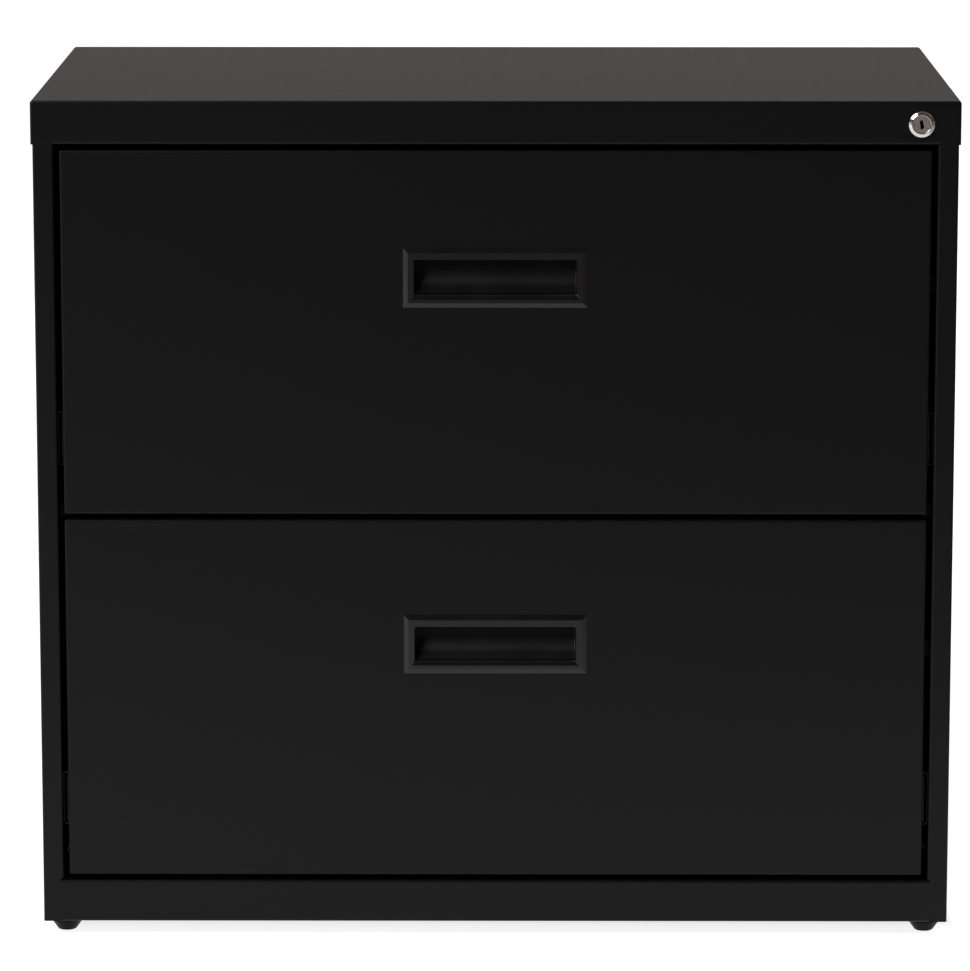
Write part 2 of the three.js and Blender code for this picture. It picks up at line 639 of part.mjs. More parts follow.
// Two folded sides, a folded back and a flat bottom.
function drawerBody(level) {
  const section = foldedSheet([
    [BODY_X - SIDE_FLANGE, BODY_LIFT],
    [BODY_X, BODY_LIFT],
    [BODY_X, SIDE_TOP],
    [BODY_X - SIDE_FLANGE, SIDE_TOP],
  ]);
  const floorTop = FLOOR_Z + SHEET;
  const tab = block(
    [BODY_X - SIDE_TAB, BODY_X - SHEET / 2],
    [BODY_Y, BODY_Y + SHEET],
    [floorTop + FIT, SIDE_TOP - SHEET / 2],
  );
  const notches = Object.values(RAIL_YS).map((y) =>
    block(
      [BODY_X - SIDE_FLANGE - OVERRUN, BODY_X + OVERRUN],
      [y - RAIL_THICKNESS / 2 - FIT, y + RAIL_THICKNESS / 2 + FIT],
      [SIDE_TOP - RAIL_SEAT - FIT, SIDE_TOP + OVERRUN],
    ),
  );
  const side = shaped(alongY(section, [BODY_Y, BODY_END]), { joined: [tab], cuts: notches });
  const right = piece(`${level}_drawer_right_side`, side, paint);
  const backX = BODY_X - SHEET - FIT;
  const backSection = foldedSheet([
    [backX, BODY_END - BACK_FLANGE],
    [backX, BODY_END],
    [-backX, BODY_END],
    [-backX, BODY_END - BACK_FLANGE],
  ]);
  const back = shaped(alongZ(backSection, [floorTop + FIT, SIDE_TOP - BACK_DROP]));
  const bottom = shaped(block([-WELL_X, WELL_X], [BODY_Y, BODY_END], [FLOOR_Z, floorTop]));
  return [
    right,
    leftOf(`${level}_drawer_left_side`, right, paint),
    piece(`${level}_drawer_back`, back, paint),
    piece(`${level}_drawer_bottom`, bottom, paint),
  ];
}

// Two bars across the drawer, with their ends in the notches of the sides.
function fileRails(level) {
  const inner = BODY_X - SIDE_FLANGE - FIT;
  const end = BODY_X - FIT;
  const high = SIDE_TOP + RAIL_RISE;
  const low = high - RAIL_HEIGHT;
  const seat = SIDE_TOP - RAIL_SEAT;
  const outline = polygon([
    [-inner, low],
    [inner, low],
    [inner, seat],
    [end, seat],
    [end, high],
    [-end, high],
    [-end, seat],
    [-inner, seat],
  ]);
  return Object.entries(RAIL_YS).map(([place, y]) => {
    const bar = alongY(outline, [y - RAIL_THICKNESS / 2, y + RAIL_THICKNESS / 2]);
    return piece(`${level}_drawer_${place}_file_rail`, shaped(bar), zinc);
  });
}

// An angle on the drawer's right side, which the lock bar's tab stops.
function lockCatch(level) {
  const foot = BODY_X + FIT;
  const y = CATCH_Y - FRONT;
  const section = foldedSheet(
    [
      [foot, y + CATCH_FOOT],
      [foot, y],
      [CATCH_X, y],
    ],
    CATCH_THICKNESS,
  );
  const bracket = alongZ(section, [CATCH_LEVEL, CATCH_LEVEL + CATCH_HEIGHT]);
  return piece(`${level}_drawer_lock_catch`, shaped(bracket), zinc);
}

// A telescopic slide: three channels, one inside the next.
function slide(level, side) {
  const caseHalf = SLIDE_HEIGHT / 2;
  const middleHalf = caseHalf - SLIDE_SHEET - SLIDE_PLAY;
  const drawerHalf = middleHalf - SLIDE_SHEET - SLIDE_PLAY;
  const middleWeb = SLIDE_X - MIDDLE_OFFSET;
  const middleTip = SLIDE_X - SLIDE_THICKNESS + SLIDE_SHEET + SLIDE_PLAY;
  const drawerWeb = SLIDE_X - SLIDE_THICKNESS;
  const drawerTip = middleWeb - SLIDE_SHEET - LIP_ROOM;
  const sections = {
    case: [
      [SLIDE_X - CASE_LEG, -caseHalf],
      [SLIDE_X, -caseHalf],
      [SLIDE_X, caseHalf],
      [SLIDE_X - CASE_LEG, caseHalf],
    ],
    middle: [
      [middleTip, -middleHalf],
      [middleWeb, -middleHalf],
      [middleWeb, middleHalf],
      [middleTip, middleHalf],
    ],
    drawer: [
      [drawerTip, drawerHalf],
      [drawerWeb, drawerHalf],
      [drawerWeb, -drawerHalf],
      [drawerTip, -drawerHalf],
    ],
  };
  const group = new THREE.Group();
  group.position.z = SLIDE_LEVEL;
  group.scale.x = side === "right" ? 1 : -1;
  for (const [member, path] of Object.entries(sections)) {
    const channel = alongY(foldedSheet(path, SLIDE_SHEET), [SLIDE_SETBACK, SLIDE_SETBACK + SLIDE_LENGTH]);
    group.add(piece(`${level}_${side}_slide_${member}_member`, shaped(channel), zinc));
  }
  return group;
}

// One drawer with its slides, drawn from its face and the lower edge of its front.
function drawer(level, z) {
  const group = new THREE.Group();
  group.position.set(0, FRONT, z);
  group.add(...drawerFront(level), pull(level), ...drawerBody(level));
  group.add(...fileRails(level), lockCatch(level));
  group.add(slide(level, "left"), slide(level, "right"));
  return group;
}

// The lock turns its cam a quarter turn, and the cam's pin lifts the lock bar.
function lock() {
  const bore = PLUG_R + FIT;
  const camBack = BARREL_LENGTH + FIT + CAM_THICKNESS;
  const armTurn = THREE.MathUtils.degToRad(-CAM_START);

  const edge = new THREE.Path();
  edge.absarc(BEZEL_R - BEZEL_ROUND, BEZEL_ROUND - LOCK_PROUD, BEZEL_ROUND, -Math.PI / 2, 0, false);
  const housing = turned([
    [bore, BARREL_LENGTH],
    [bore, -LOCK_PROUD],
    ...edge.getPoints(EDGE_STEPS).map((p) => [p.x, p.y]),
    [BEZEL_R, -FIT],
    [BARREL_R, -FIT],
    [BARREL_R, BARREL_LENGTH],
    [bore, BARREL_LENGTH],
  ]);

  const plugFace = PLUG_SINK - LOCK_PROUD;
  const plug = turned([
    [0, plugFace],
    [PLUG_R, plugFace],
    [PLUG_R, BARREL_LENGTH],
    [0, BARREL_LENGTH],
  ]);
  const tailHalf = TAIL_SIDE / 2;
  const tail = block(
    [-tailHalf, tailHalf],
    [BARREL_LENGTH - EMBED, camBack],
    [-tailHalf, tailHalf],
  ).rotateY(armTurn);
  const keyway = block(
    [-KEYWAY_WIDTH / 2, KEYWAY_WIDTH / 2],
    [plugFace - OVERRUN, plugFace + KEYWAY_DEPTH],
    [-KEYWAY_HEIGHT / 2, KEYWAY_HEIGHT / 2],
  ).rotateY(THREE.MathUtils.degToRad(-KEYWAY_TILT));
  const screwHole = roundBar(SCREW_R + FIT, [camBack - SCREW_LENGTH - OVERRUN, camBack + OVERRUN], 0, 0);

  const nutFront = COVER_SHEET + FIT;
  const nutSpan = [nutFront, nutFront + LOCK_NUT_THICKNESS];
  const nutHole = roundBar(BARREL_R + FIT, [nutFront - OVERRUN, nutSpan[1] + OVERRUN], 0, 0);

  const camSpan = [BARREL_LENGTH + FIT, camBack];
  const arm = block([0, CAM_REACH], camSpan, [-CAM_END_R, CAM_END_R]);
  const armEnd = roundBar(CAM_END_R, camSpan, CAM_REACH, 0);
  const pinTip = camBack + FIT + BAR_THICKNESS + PIN_TIP;
  const pin = roundBar(PIN_R, [camBack - EMBED, pinTip], CAM_REACH, 0);
  const holeHalf = tailHalf + FIT;
  const tailHole = block(
    [-holeHalf, holeHalf],
    [camSpan[0] - OVERRUN, camBack + OVERRUN],
    [-holeHalf, holeHalf],
  );
  const cam = piece(
    "lock_cam",
    shaped(roundBar(CAM_HUB_R, camSpan, 0, 0), { joined: [arm, armEnd, pin], cuts: [tailHole] }),
    zinc,
  );
  cam.rotation.y = armTurn;

  const headFront = camBack + FIT;
  const screw = turned([
    [0, camBack - SCREW_LENGTH],
    [SCREW_R, camBack - SCREW_LENGTH],
    [SCREW_R, headFront],
    [SCREW_HEAD_R, headFront],
    [SCREW_HEAD_R, headFront + SCREW_HEAD],
    [0, headFront + SCREW_HEAD],
  ]);

  const group = new THREE.Group();
  group.position.set(LOCK_X, FRONT, LOCK_Z);
  group.add(
    piece("lock_housing", shaped(housing), chrome),
    piece("lock_plug", shaped(plug, { joined: [tail], cuts: [keyway, screwHole] }), nickel),
    piece("lock_nut", shaped(alongY(hexagon(LOCK_NUT_R, 0, 0), nutSpan), { cuts: [nutHole] }), zinc),
    cam,
    piece("lock_cam_screw", shaped(screw), zinc),
  );
  return group;
}

// The lock bar runs down behind the right-hand stile. Its slot takes the cam's pin, and it has a tab for
// each drawer.
function lockBar() {
  const swing = THREE.MathUtils.degToRad(CAM_START);
  const pinZ = LOCK_Z + CAM_REACH * Math.sin(swing);
  const slotHalf = PIN_R + SLOT_PLAY;
  const slotLeft = LOCK_X + CAM_REACH * Math.cos(swing) - slotHalf;
  const slotRight = LOCK_X + CAM_REACH + slotHalf;
  const headLeft = slotLeft - BAR_WALL;
  const headHalf = slotHalf + BAR_WALL;
  const inner = BAR_X - BAR_WIDTH;
  const tabTip = CATCH_X - TAB_REACH;
  const tabTops = [UPPER_Z, LOWER_Z].map((z) => z + CATCH_LEVEL - TAB_ROOM);
  const lowestTab = tabTops[1] - TAB_HEIGHT;
  const tail = lowestTab - BAR_TAIL;
  const outline = polygon([
    [BAR_X, tail],
    [BAR_X, pinZ + headHalf],
    [headLeft, pinZ + headHalf],
    [headLeft, pinZ - headHalf],
    [inner, pinZ - headHalf],
    ...tabTops.flatMap((top) => [
      [inner, top],
      [tabTip, top],
      [tabTip, top - TAB_HEIGHT],
      [inner, top - TAB_HEIGHT],
    ]),
    [inner, tail],
  ]);
  outline.holes.push(
    polygon([
      [slotLeft, pinZ - slotHalf],
      [slotRight, pinZ - slotHalf],
      [slotRight, pinZ + slotHalf],
      [slotLeft, pinZ + slotHalf],
    ]),
  );
  const bar = piece("lock_bar", shaped(alongY(outline, [BAR_Y, BAR_Y + BAR_THICKNESS])), zinc);

  const guide = (name, foot) => {
    const room = FIT + GUIDE_WALL;
    const body = block(
      [inner - room, INNER_X - FIT],
      [BAR_Y - room, BAR_Y + BAR_THICKNESS + room],
      [foot, foot + GUIDE_HEIGHT],
    );
    const channel = block(
      [inner - FIT, BAR_X + FIT],
      [BAR_Y - FIT, BAR_Y + BAR_THICKNESS + FIT],
      [foot - OVERRUN, foot + GUIDE_HEIGHT + OVERRUN],
    );
    return piece(name, shaped(body, { cuts: [channel] }), zinc);
  };
  return [
    bar,
    guide("upper_lock_bar_guide", SKIRT_Z - GUIDE_UPPER_DROP),
    guide("lower_lock_bar_guide", lowestTab - GUIDE_LOWER_DROP),
  ];
}

const cabinet = new THREE.Group();
cabinet.add(topCover(), ...sidePanels(), backPanel(), ...baseRails(), bottomPanel(), dividerRail());
cabinet.add(...uprights(), ...glides());
cabinet.add(drawer("upper", UPPER_Z), drawer("lower", LOWER_Z));
cabinet.add(lock(), ...lockBar());

export default cabinet;
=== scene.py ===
"""Dresses a two-drawer lateral filing cabinet: folded and pressed steel in satin black powder coat, moulded
pulls, a cam lock, levelling feet and a plain pale studio."""

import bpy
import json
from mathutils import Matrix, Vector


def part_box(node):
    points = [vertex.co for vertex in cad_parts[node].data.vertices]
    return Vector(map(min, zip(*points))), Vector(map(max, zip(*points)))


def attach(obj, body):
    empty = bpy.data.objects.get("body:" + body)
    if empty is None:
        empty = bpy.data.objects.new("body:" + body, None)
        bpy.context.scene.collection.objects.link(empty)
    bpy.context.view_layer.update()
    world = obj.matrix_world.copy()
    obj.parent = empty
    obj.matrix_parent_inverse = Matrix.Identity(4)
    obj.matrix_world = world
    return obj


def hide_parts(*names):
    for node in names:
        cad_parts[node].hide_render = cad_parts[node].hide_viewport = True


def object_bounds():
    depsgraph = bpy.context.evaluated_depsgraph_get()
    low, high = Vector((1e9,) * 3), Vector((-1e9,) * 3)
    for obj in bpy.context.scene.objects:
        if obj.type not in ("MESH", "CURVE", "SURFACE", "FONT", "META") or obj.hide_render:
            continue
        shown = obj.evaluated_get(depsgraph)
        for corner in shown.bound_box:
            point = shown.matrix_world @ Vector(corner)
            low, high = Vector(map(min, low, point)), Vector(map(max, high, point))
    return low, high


bl_info = {
    "name": "Lateral Filing Cabinet",
    "version": (1, 0, 0),
    "blender": (4, 5, 0),
    "location": "View3D > Sidebar > Cabinet",
    "description": "Builds the visible pieces of a lateral filing cabinet around its frame",
    "category": "Add Mesh",
}

import json
import math

import bmesh
import bpy
from bpy.props import FloatProperty, FloatVectorProperty, IntProperty, PointerProperty
from bpy.types import Operator, Panel, PropertyGroup
from mathutils import Matrix, Vector

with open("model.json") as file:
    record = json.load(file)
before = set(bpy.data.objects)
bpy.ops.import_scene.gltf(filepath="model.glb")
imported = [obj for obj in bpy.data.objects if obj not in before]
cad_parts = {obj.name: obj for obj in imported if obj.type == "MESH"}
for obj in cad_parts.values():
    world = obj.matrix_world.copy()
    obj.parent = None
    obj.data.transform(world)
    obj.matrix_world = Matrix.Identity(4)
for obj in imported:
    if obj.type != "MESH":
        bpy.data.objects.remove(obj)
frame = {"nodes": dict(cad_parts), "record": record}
CAD_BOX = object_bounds()

FINISH_NAME = "cabinet_{}"
MM = 0.001
LEVELS = ("upper", "lower")
SIDES = {"left": -1, "right": 1}
CORNERS = ("front_left", "front_right", "rear_left", "rear_right")
X_AXIS = Vector((1, 0, 0))
Y_AXIS = Vector((0, 1, 0))
Z_AXIS = Vector((0, 0, 1))
TINY = 1e-6

# The lock bar is painted with the case, not left zinc; the black also stands in for the shade on its tabs in the
# gaps beside the drawers.
PAINTED_OVER = {"lock_bar": "black_paint"}

# Planes that the case's pieces share.
COVER_LOW, COVER_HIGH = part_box("top_cover")
FRONT = COVER_LOW.y
STILE_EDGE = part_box("right_side_panel")[0].x
RAIL_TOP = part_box("front_base_rail")[1].z
LOCK_LOW, LOCK_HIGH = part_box("lock_housing")
LOCK_AXIS = (LOCK_LOW + LOCK_HIGH) / 2


def length(label, text, size):
    """A size in millimetres as a length property."""
    return FloatProperty(name=label, description=text, default=size * MM, min=0, unit="LENGTH")


def colour(label, text, value):
    """A colour property in linear values."""
    return FloatVectorProperty(
        name=label, description=text, default=value, size=3, min=0, max=1, subtype="COLOR"
    )


def share(label, text, value):
    """A property from 0 to 1."""
    return FloatProperty(name=label, description=text, default=value, min=0, max=1, subtype="FACTOR")


class CabinetShape(PropertyGroup):
    """Sizes of the visible pieces."""

    sheet: length("Sheet", "Thickness of the case's and drawers' sheet steel", 1.0)
    cover_sheet: length("Cover sheet", "Thickness of the top cover's sheet steel", 1.2)
    bend: length("Bend", "Inside radius of every fold", 1.0)
    fold_steps: IntProperty(name="Fold steps", description="Faces round each fold", default=5, min=2, max=12)
    round_steps: IntProperty(name="Round steps", description="Faces round a turned piece", default=56, min=12)
    rim: length("Rim", "Rounding of a cut sheet edge", 0.4)
    hem: length("Hem", "Depth of the fold under the cover's front skirt", 12)
    stile_lip: length("Stile lip", "Depth of a stile's inner lip", 11)
    rear_flange: length("Rear flange", "Width of the side panels' rear flanges", 15)
    rail_top_flange: length("Rail upper flange", "Depth of the base rail's upper flange", 15)
    corner_relief: length("Corner relief", "Height of the relief notch over the base rail's ends", 1.4)
    pull_rim: length("Pull rim", "Straight edge of the pull's frame", 0.6)
    pull_bevel: length("Pull bevel", "Width of the bevel round the pull's frame", 3.9)
    grip_width: length("Grip width", "Width of the pull's finger opening", 134.5)
    grip_height: length("Grip height", "Height of the pull's finger opening", 30.5)
    grip_depth: length("Grip depth", "Depth of the finger space behind the drawer face", 19.5)
    grip_rise: length("Grip rise", "Finger space above the opening's upper edge", 4)
    grip_scoop: length("Grip scoop", "How far the finger space's floor climbs", 12)
    grip_curve: length("Grip curve", "Where the floor starts to curve up to the back", 9)
    grip_lean: length("Grip lean", "How far the finger space's back leans away from its foot", 6)
    grip_round: length("Grip rounding", "Rounding of the finger space's ends", 1.6)
    sill_round: length("Sill rounding", "Rounding of the opening's lower edge", 2.4)
    pull_wall: length("Pull wall", "Wall of the pull's moulding", 1.3)
    hole_margin: length("Hole margin", "From the finger opening to the edge of the hole in the front", 3)
    bezel_slope: length("Bezel slope", "Width of the sloped ring round the lock's bezel", 2.6)
    bezel_drop: length("Bezel drop", "How far the bezel's ring slopes back", 1.5)
    bezel_round: length("Bezel rounding", "Rounding of the bezel's edges", 0.5)
    plug_radius: length("Plug radius", "Radius of the lock's plug", 7)
    keyway_width: length("Keyway width", "Width of the key slot", 2.8)
    keyway_height: length("Keyway height", "Height of the key slot", 7)
    keyway_depth: length("Keyway depth", "Depth of the key slot", 12)
    keyway_tilt: FloatProperty(
        name="Keyway tilt",
        description="Lean of the key slot with the drawers unlocked",
        default=math.radians(10),
        subtype="ANGLE",
    )
    sole_radius: length("Sole radius", "Radius of a foot's sole", 7.5)
    foot_rim: length("Foot rim", "Height of a foot's straight rim", 4)
    stud_radius: length("Stud radius", "Radius of a foot's threaded stud", 4)
    stud_length: length("Stud length", "Length of a foot's threaded stud", 24)
    thread_pitch: length("Thread pitch", "Pitch of the stud's thread", 1.25)
    rail_round: length("File rail rounding", "Rounding of the file rails' edges", 1.1)
    catch_sheet: length("Catch sheet", "Thickness of the lock catches' sheet steel", 1.6)


class CabinetFinish(PropertyGroup):
    """Colours and gloss of the finishes."""

    paint: colour("Paint", "Satin black powder coat", (0.0040, 0.0040, 0.0042))
    paint_roughness: share("Paint roughness", "Roughness of the powder coat", 0.31)
    paint_gloss: share("Paint gloss", "Specular level of the powder coat", 0.14)
    moulding: colour("Moulding", "Black plastic of the pulls", (0.0034, 0.0034, 0.0036))
    moulding_roughness: share("Moulding roughness", "Roughness of the pulls", 0.17)
    chrome: colour("Chrome", "Polished lock bezel", (0.55, 0.55, 0.56))
    nickel: colour("Nickel", "Satin nickel lock plug", (0.42, 0.37, 0.32))
    zinc: colour("Zinc", "Black zinc plate on the slides, rails and lock works", (0.056, 0.058, 0.062))
    nylon: colour("Nylon", "Black nylon of the feet", (0.0018, 0.0018, 0.0019))


class CabinetStage(PropertyGroup):
    """Floor, lights and camera."""

    floor: colour("Floor", "Pale floor", (0.40, 0.40, 0.40))
    floor_glow: share("Floor glow", "How much of the white the floor shows by itself near the cabinet", 0.88)
    dome: share("Dome", "Light from a little above the horizon", 0.094)
    overhead: share("Overhead", "Light from high above", 0.60)
    dome_tint: colour("Dome tint", "Warm tint of the light from above", (1.0, 0.81, 0.77))
    room: share("Room", "Light from the room before the cabinet", 0.04)
    key_power: FloatProperty(name="Key", description="Power of the main light in watts", default=220, min=0)
    fill_power: FloatProperty(name="Fill", description="Power of the second light in watts", default=60, min=0)
    lens: FloatProperty(name="Lens", description="Focal length in millimetres", default=194.8, min=1)
    camera_place: FloatVectorProperty(
        name="Camera", description="Where the camera stands", default=(0.012, -4.5, 1.1736), size=3,
        subtype="TRANSLATION", unit="LENGTH",
    )
    camera_aim: FloatVectorProperty(
        name="Aim", description="What the camera looks at", default=(-0.0086, -0.221, 0.3854), size=3,
        subtype="TRANSLATION", unit="LENGTH",
    )


# Mesh helpers.


def new_box(low, high):
    """A bmesh of one box between two corners."""
    bm = bmesh.new()
    size = high - low
    place = Matrix.Translation((low + high) / 2) @ Matrix.Diagonal((*size, 1))
    bmesh.ops.create_cube(bm, size=1, matrix=place)
    return bm


def drop_faces(bm, test):
    """Deletes the faces that pass a test of the face."""
    gone = [face for face in bm.faces if test(face)]
    bmesh.ops.delete(bm, geom=gone, context="FACES")


def cut(bm, place, direction, faces=None):
    """Cuts all faces, or the given ones, along a plane."""
    chosen = list(bm.faces if faces is None else faces)
    edges = {edge for face in chosen for edge in face.edges}
    verts = {vert for face in chosen for vert in face.verts}
    bmesh.ops.bisect_plane(
        bm, geom=[*verts, *edges, *chosen], dist=TINY, plane_co=place, plane_no=direction
    )


def round_edges(bm, edges, radius, steps):
    """Rounds edges to a radius."""
    bmesh.ops.bevel(
        bm, geom=list(edges), offset=radius, offset_type="OFFSET", affect="EDGES", segments=steps,
        profile=0.5, material=-1, clamp_overlap=True,
    )


def inner_edges(bm):
    """Edges between two faces."""
    return [edge for edge in bm.edges if len(edge.link_faces) == 2]


def sharp_edges(bm, degrees, test=lambda edge: True):
    """Edges that turn by more than an angle and pass a test."""
    limit = math.radians(degrees)
    return [edge for edge in inner_edges(bm) if edge.calc_face_angle(0) > limit and test(edge)]


def face_outward(bm, direction):
    """Makes the faces agree, with the main face across a direction looking along it."""
    bmesh.ops.recalc_face_normals(bm, faces=bm.faces[:])
    main = max(bm.faces, key=lambda face: abs(face.normal.dot(direction)) * face.calc_area())
    if main.normal.dot(direction) < 0:
        bmesh.ops.reverse_faces(bm, faces=bm.faces[:])


def thicken(bm, thickness):
    """Gives a sheet its thickness, behind its outer face."""
    bmesh.ops.solidify(bm, geom=bm.faces[:], thickness=thickness)


def wire(bm, points):
    """A chain of edges through points."""
    verts = [bm.verts.new(point) for point in points]
    return [bm.edges.new(pair) for pair in zip(verts, verts[1:])]


def extrude_edges(bm, edges, step):
    """Pulls edges along a step and returns the new edges."""
    made = bmesh.ops.extrude_edge_only(bm, edges=list(edges))["geom"]
    moved = [item for item in made if isinstance(item, bmesh.types.BMVert)]
    bmesh.ops.translate(bm, vec=step, verts=moved)
    return [item for item in made if isinstance(item, bmesh.types.BMEdge)]


def folded_sheet(path, step, outward, radius, steps):
    """The outer face of a sheet folded along a path, pulled along a step."""
    bm = bmesh.new()
    extrude_edges(bm, wire(bm, path), step)
    round_edges(bm, inner_edges(bm), radius, steps)
    face_outward(bm, outward)
    return bm


def punch_hole(bm, centre, axis, half, radius, steps):
    """Cuts a round hole in a flat face across an axis."""
    across = [unit for unit in (X_AXIS, Y_AXIS, Z_AXIS) if abs(unit.dot(axis)) < 0.5]

    def on_face(face):
        level = abs((face.calc_center_median() - centre).dot(axis)) < TINY
        return level and abs(face.normal.dot(axis)) > 0.99

    for unit in across:
        for turn in (-1, 1):
            flat = [face for face in bm.faces if on_face(face)]
            cut(bm, centre + turn * half * unit, unit, flat)
    square = min(
        (face for face in bm.faces if on_face(face)),
        key=lambda face: (face.calc_center_median() - centre).length,
    )
    bmesh.ops.bisect_edges(bm, edges=list(square.edges), cuts=steps // 4 - 1)
    bmesh.ops.inset_region(bm, faces=[square], thickness=half - radius)
    for vert in square.verts:
        vert.co = centre + (vert.co - centre).normalized() * radius
    bmesh.ops.delete(bm, geom=[square], context="FACES_ONLY")


def turned(profile, steps, closed=False):
    """A profile of (radius, height) points spun round the Z axis."""
    bm = bmesh.new()
    points = [Vector((radius, 0, height)) for radius, height in profile]
    edges = wire(bm, points + points[:1] if closed else points)
    bmesh.ops.spin(
        bm, geom=[*bm.verts, *edges], cent=(0, 0, 0), axis=Z_AXIS, angle=math.tau, steps=steps, use_merge=True
    )
    bmesh.ops.remove_doubles(bm, verts=bm.verts[:], dist=TINY)
    bmesh.ops.recalc_face_normals(bm, faces=bm.faces[:])
    return bm


def ring_edges(bm, radius, height):
    """Edges of a turned piece at one radius and height."""

    def on_ring(vert):
        return abs(vert.co.xy.length - radius) < TINY * 20 and abs(vert.co.z - height) < TINY * 20

    return [edge for edge in bm.edges if all(on_ring(vert) for vert in edge.verts)]


def add_piece(bm, name, body, slot, *nodes):
    """Makes a finished piece of a bmesh that stands for CAD nodes and rides on a body."""
    mesh = bpy.data.meshes.new(name)
    bm.to_mesh(mesh)
    bm.free()
    mesh.shade_smooth()
    mesh.set_sharp_from_angle(angle=math.radians(40))
    mesh.materials.append(finish(slot))
    piece = bpy.data.objects.new(name, mesh)
    bpy.context.scene.collection.objects.link(piece)
    shading = piece.modifiers.new("Even shading", "WEIGHTED_NORMAL")
    shading.keep_sharp = True
    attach(piece, body)
    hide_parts(*nodes)
    return piece


# Finishes.


def new_finish(name):
    """A material with its node tree and surface shader."""
    material = bpy.data.materials.new(FINISH_NAME.format(name))
    material.use_nodes = True
    tree = material.node_tree
    return material, tree, tree.nodes["Principled BSDF"]


def noise(tree, scale, detail=2.0, stretch=(1, 1, 1)):
    """Noise over the object's own coordinates, drawn out along an axis by a stretch under 1."""
    place = tree.nodes.new("ShaderNodeTexCoord")
    mapping = tree.nodes.new("ShaderNodeMapping")
    mapping.inputs["Scale"].default_value = stretch
    texture = tree.nodes.new("ShaderNodeTexNoise")
    texture.inputs["Scale"].default_value = scale
    texture.inputs["Detail"].default_value = detail
    tree.links.new(place.outputs["Object"], mapping.inputs["Vector"])
    tree.links.new(mapping.outputs["Vector"], texture.inputs["Vector"])
    return texture.outputs["Fac"]


def remap(tree, value, old, new, smooth=False):
    """Maps one range of a value to another."""
    node = tree.nodes.new("ShaderNodeMapRange")
    node.interpolation_type = "SMOOTHSTEP" if smooth else "LINEAR"
    for name, number in zip(("From Min", "From Max", "To Min", "To Max"), (*old, *new)):
        node.inputs[name].default_value = number
    tree.links.new(value, node.inputs["Value"])
    return node.outputs["Result"]


def spread(tree, value, low, high):
    """Maps the middle of a noise to a range."""
    return remap(tree, value, (0.3, 0.7), (low, high))


def combine(tree, operation, *values):
    """Joins one or two values with a mathematical operation."""
    node = tree.nodes.new("ShaderNodeMath")
    node.operation = operation
    for value, socket in zip(values, node.inputs):
        tree.links.new(value, socket)
    return node.outputs[0]


def mix(tree, value, first, second):
    """Blends two colours, given as outputs or as linear values."""
    node = tree.nodes.new("ShaderNodeMix")
    node.data_type = "RGBA"
    sockets = [socket for socket in node.inputs if socket.type == "RGBA"]
    for socket, tint in zip(sockets, (first, second)):
        if isinstance(tint, bpy.types.NodeSocket):
            tree.links.new(tint, socket)
        else:
            socket.default_value = (*tint, 1)
    tree.links.new(value, node.inputs["Factor"])
    return next(socket for socket in node.outputs if socket.type == "RGBA")


def shades(tree, value, tint, change):
    """A colour that a noise darkens and lightens by a share."""
    dark = [part * (1 - change) for part in tint]
    light = [part * (1 + change) for part in tint]
    return mix(tree, spread(tree, value, 0, 1), dark, light)


def bump(tree, surface, height, strength, distance, under=None):
    """Adds relief from a noise to a shader, over any relief below it."""
    node = tree.nodes.new("ShaderNodeBump")
    node.inputs["Strength"].default_value = strength
    node.inputs["Distance"].default_value = distance
    tree.links.new(height, node.inputs["Height"])
    if under:
        tree.links.new(under.outputs["Normal"], node.inputs["Normal"])
    tree.links.new(node.outputs["Normal"], surface.inputs["Normal"])
    return node


def black_paint(values):
    """Satin powder coat with a fine orange peel."""
    material, tree, surface = new_finish("black_paint")
    speck = noise(tree, 1600, 1)
    tree.links.new(shades(tree, noise(tree, 500, 3), values.paint, 0.15), surface.inputs["Base Color"])
    rough = values.paint_roughness
    tree.links.new(spread(tree, noise(tree, 260, 2), rough - 0.02, rough + 0.02), surface.inputs["Roughness"])
    surface.inputs["Specular IOR Level"].default_value = values.paint_gloss
    waves = bump(tree, surface, noise(tree, 420, 1), 0.10, 0.0002)
    bump(tree, surface, speck, 0.10, 0.00005, waves)
    return material


def pull_moulding(values):
    """Black moulded plastic, smooth on the frame, and grained, duller and darkened with painted shade down in the
    finger space.
    """
    material, tree, surface = new_finish("pull_moulding")
    place = tree.nodes.new("ShaderNodeTexCoord")
    axes = tree.nodes.new("ShaderNodeSeparateXYZ")
    tree.links.new(place.outputs["Object"], axes.inputs[0])
    inside = remap(tree, axes.outputs["Y"], (FRONT, FRONT + 2.5 * MM), (0, 1), smooth=True)
    cloud = noise(tree, 30, 3)
    frame_tint = shades(tree, cloud, values.moulding, 0.10)
    # Painted shade: the colour down in the finger space is cut to a third, fading in just behind the front.
    painted_shade_tint = shades(tree, cloud, [part * 0.3 for part in values.moulding], 0.10)
    tree.links.new(mix(tree, inside, frame_tint, painted_shade_tint), surface.inputs["Base Color"])
    rough = values.moulding_roughness
    dull = remap(tree, inside, (0, 1), (0, 0.26))
    grain = combine(tree, "ADD", spread(tree, cloud, rough - 0.03, rough + 0.03), dull)
    tree.links.new(grain, surface.inputs["Roughness"])
    surface.inputs["Specular IOR Level"].default_value = 0.34
    bump(tree, surface, noise(tree, 2200, 2), 0.10, 0.00005)
    return material


def plated(name, tint, roughness, grain, stretch):
    """Plated metal with a drawn grain."""
    material, tree, surface = new_finish(name)
    cloud = noise(tree, 35, 3)
    lines = noise(tree, grain, 3, stretch)
    tree.links.new(shades(tree, cloud, tint, 0.08), surface.inputs["Base Color"])
    tree.links.new(spread(tree, lines, roughness * 0.8, roughness * 1.25), surface.inputs["Roughness"])
    surface.inputs["Metallic"].default_value = 1.0
    bump(tree, surface, lines, 0.08, 0.00004)
    return material


def lock_chrome(values):
    """Polished chrome with faint handling marks."""
    return plated("lock_chrome", values.chrome, 0.10, 500, (1, 1, 1))


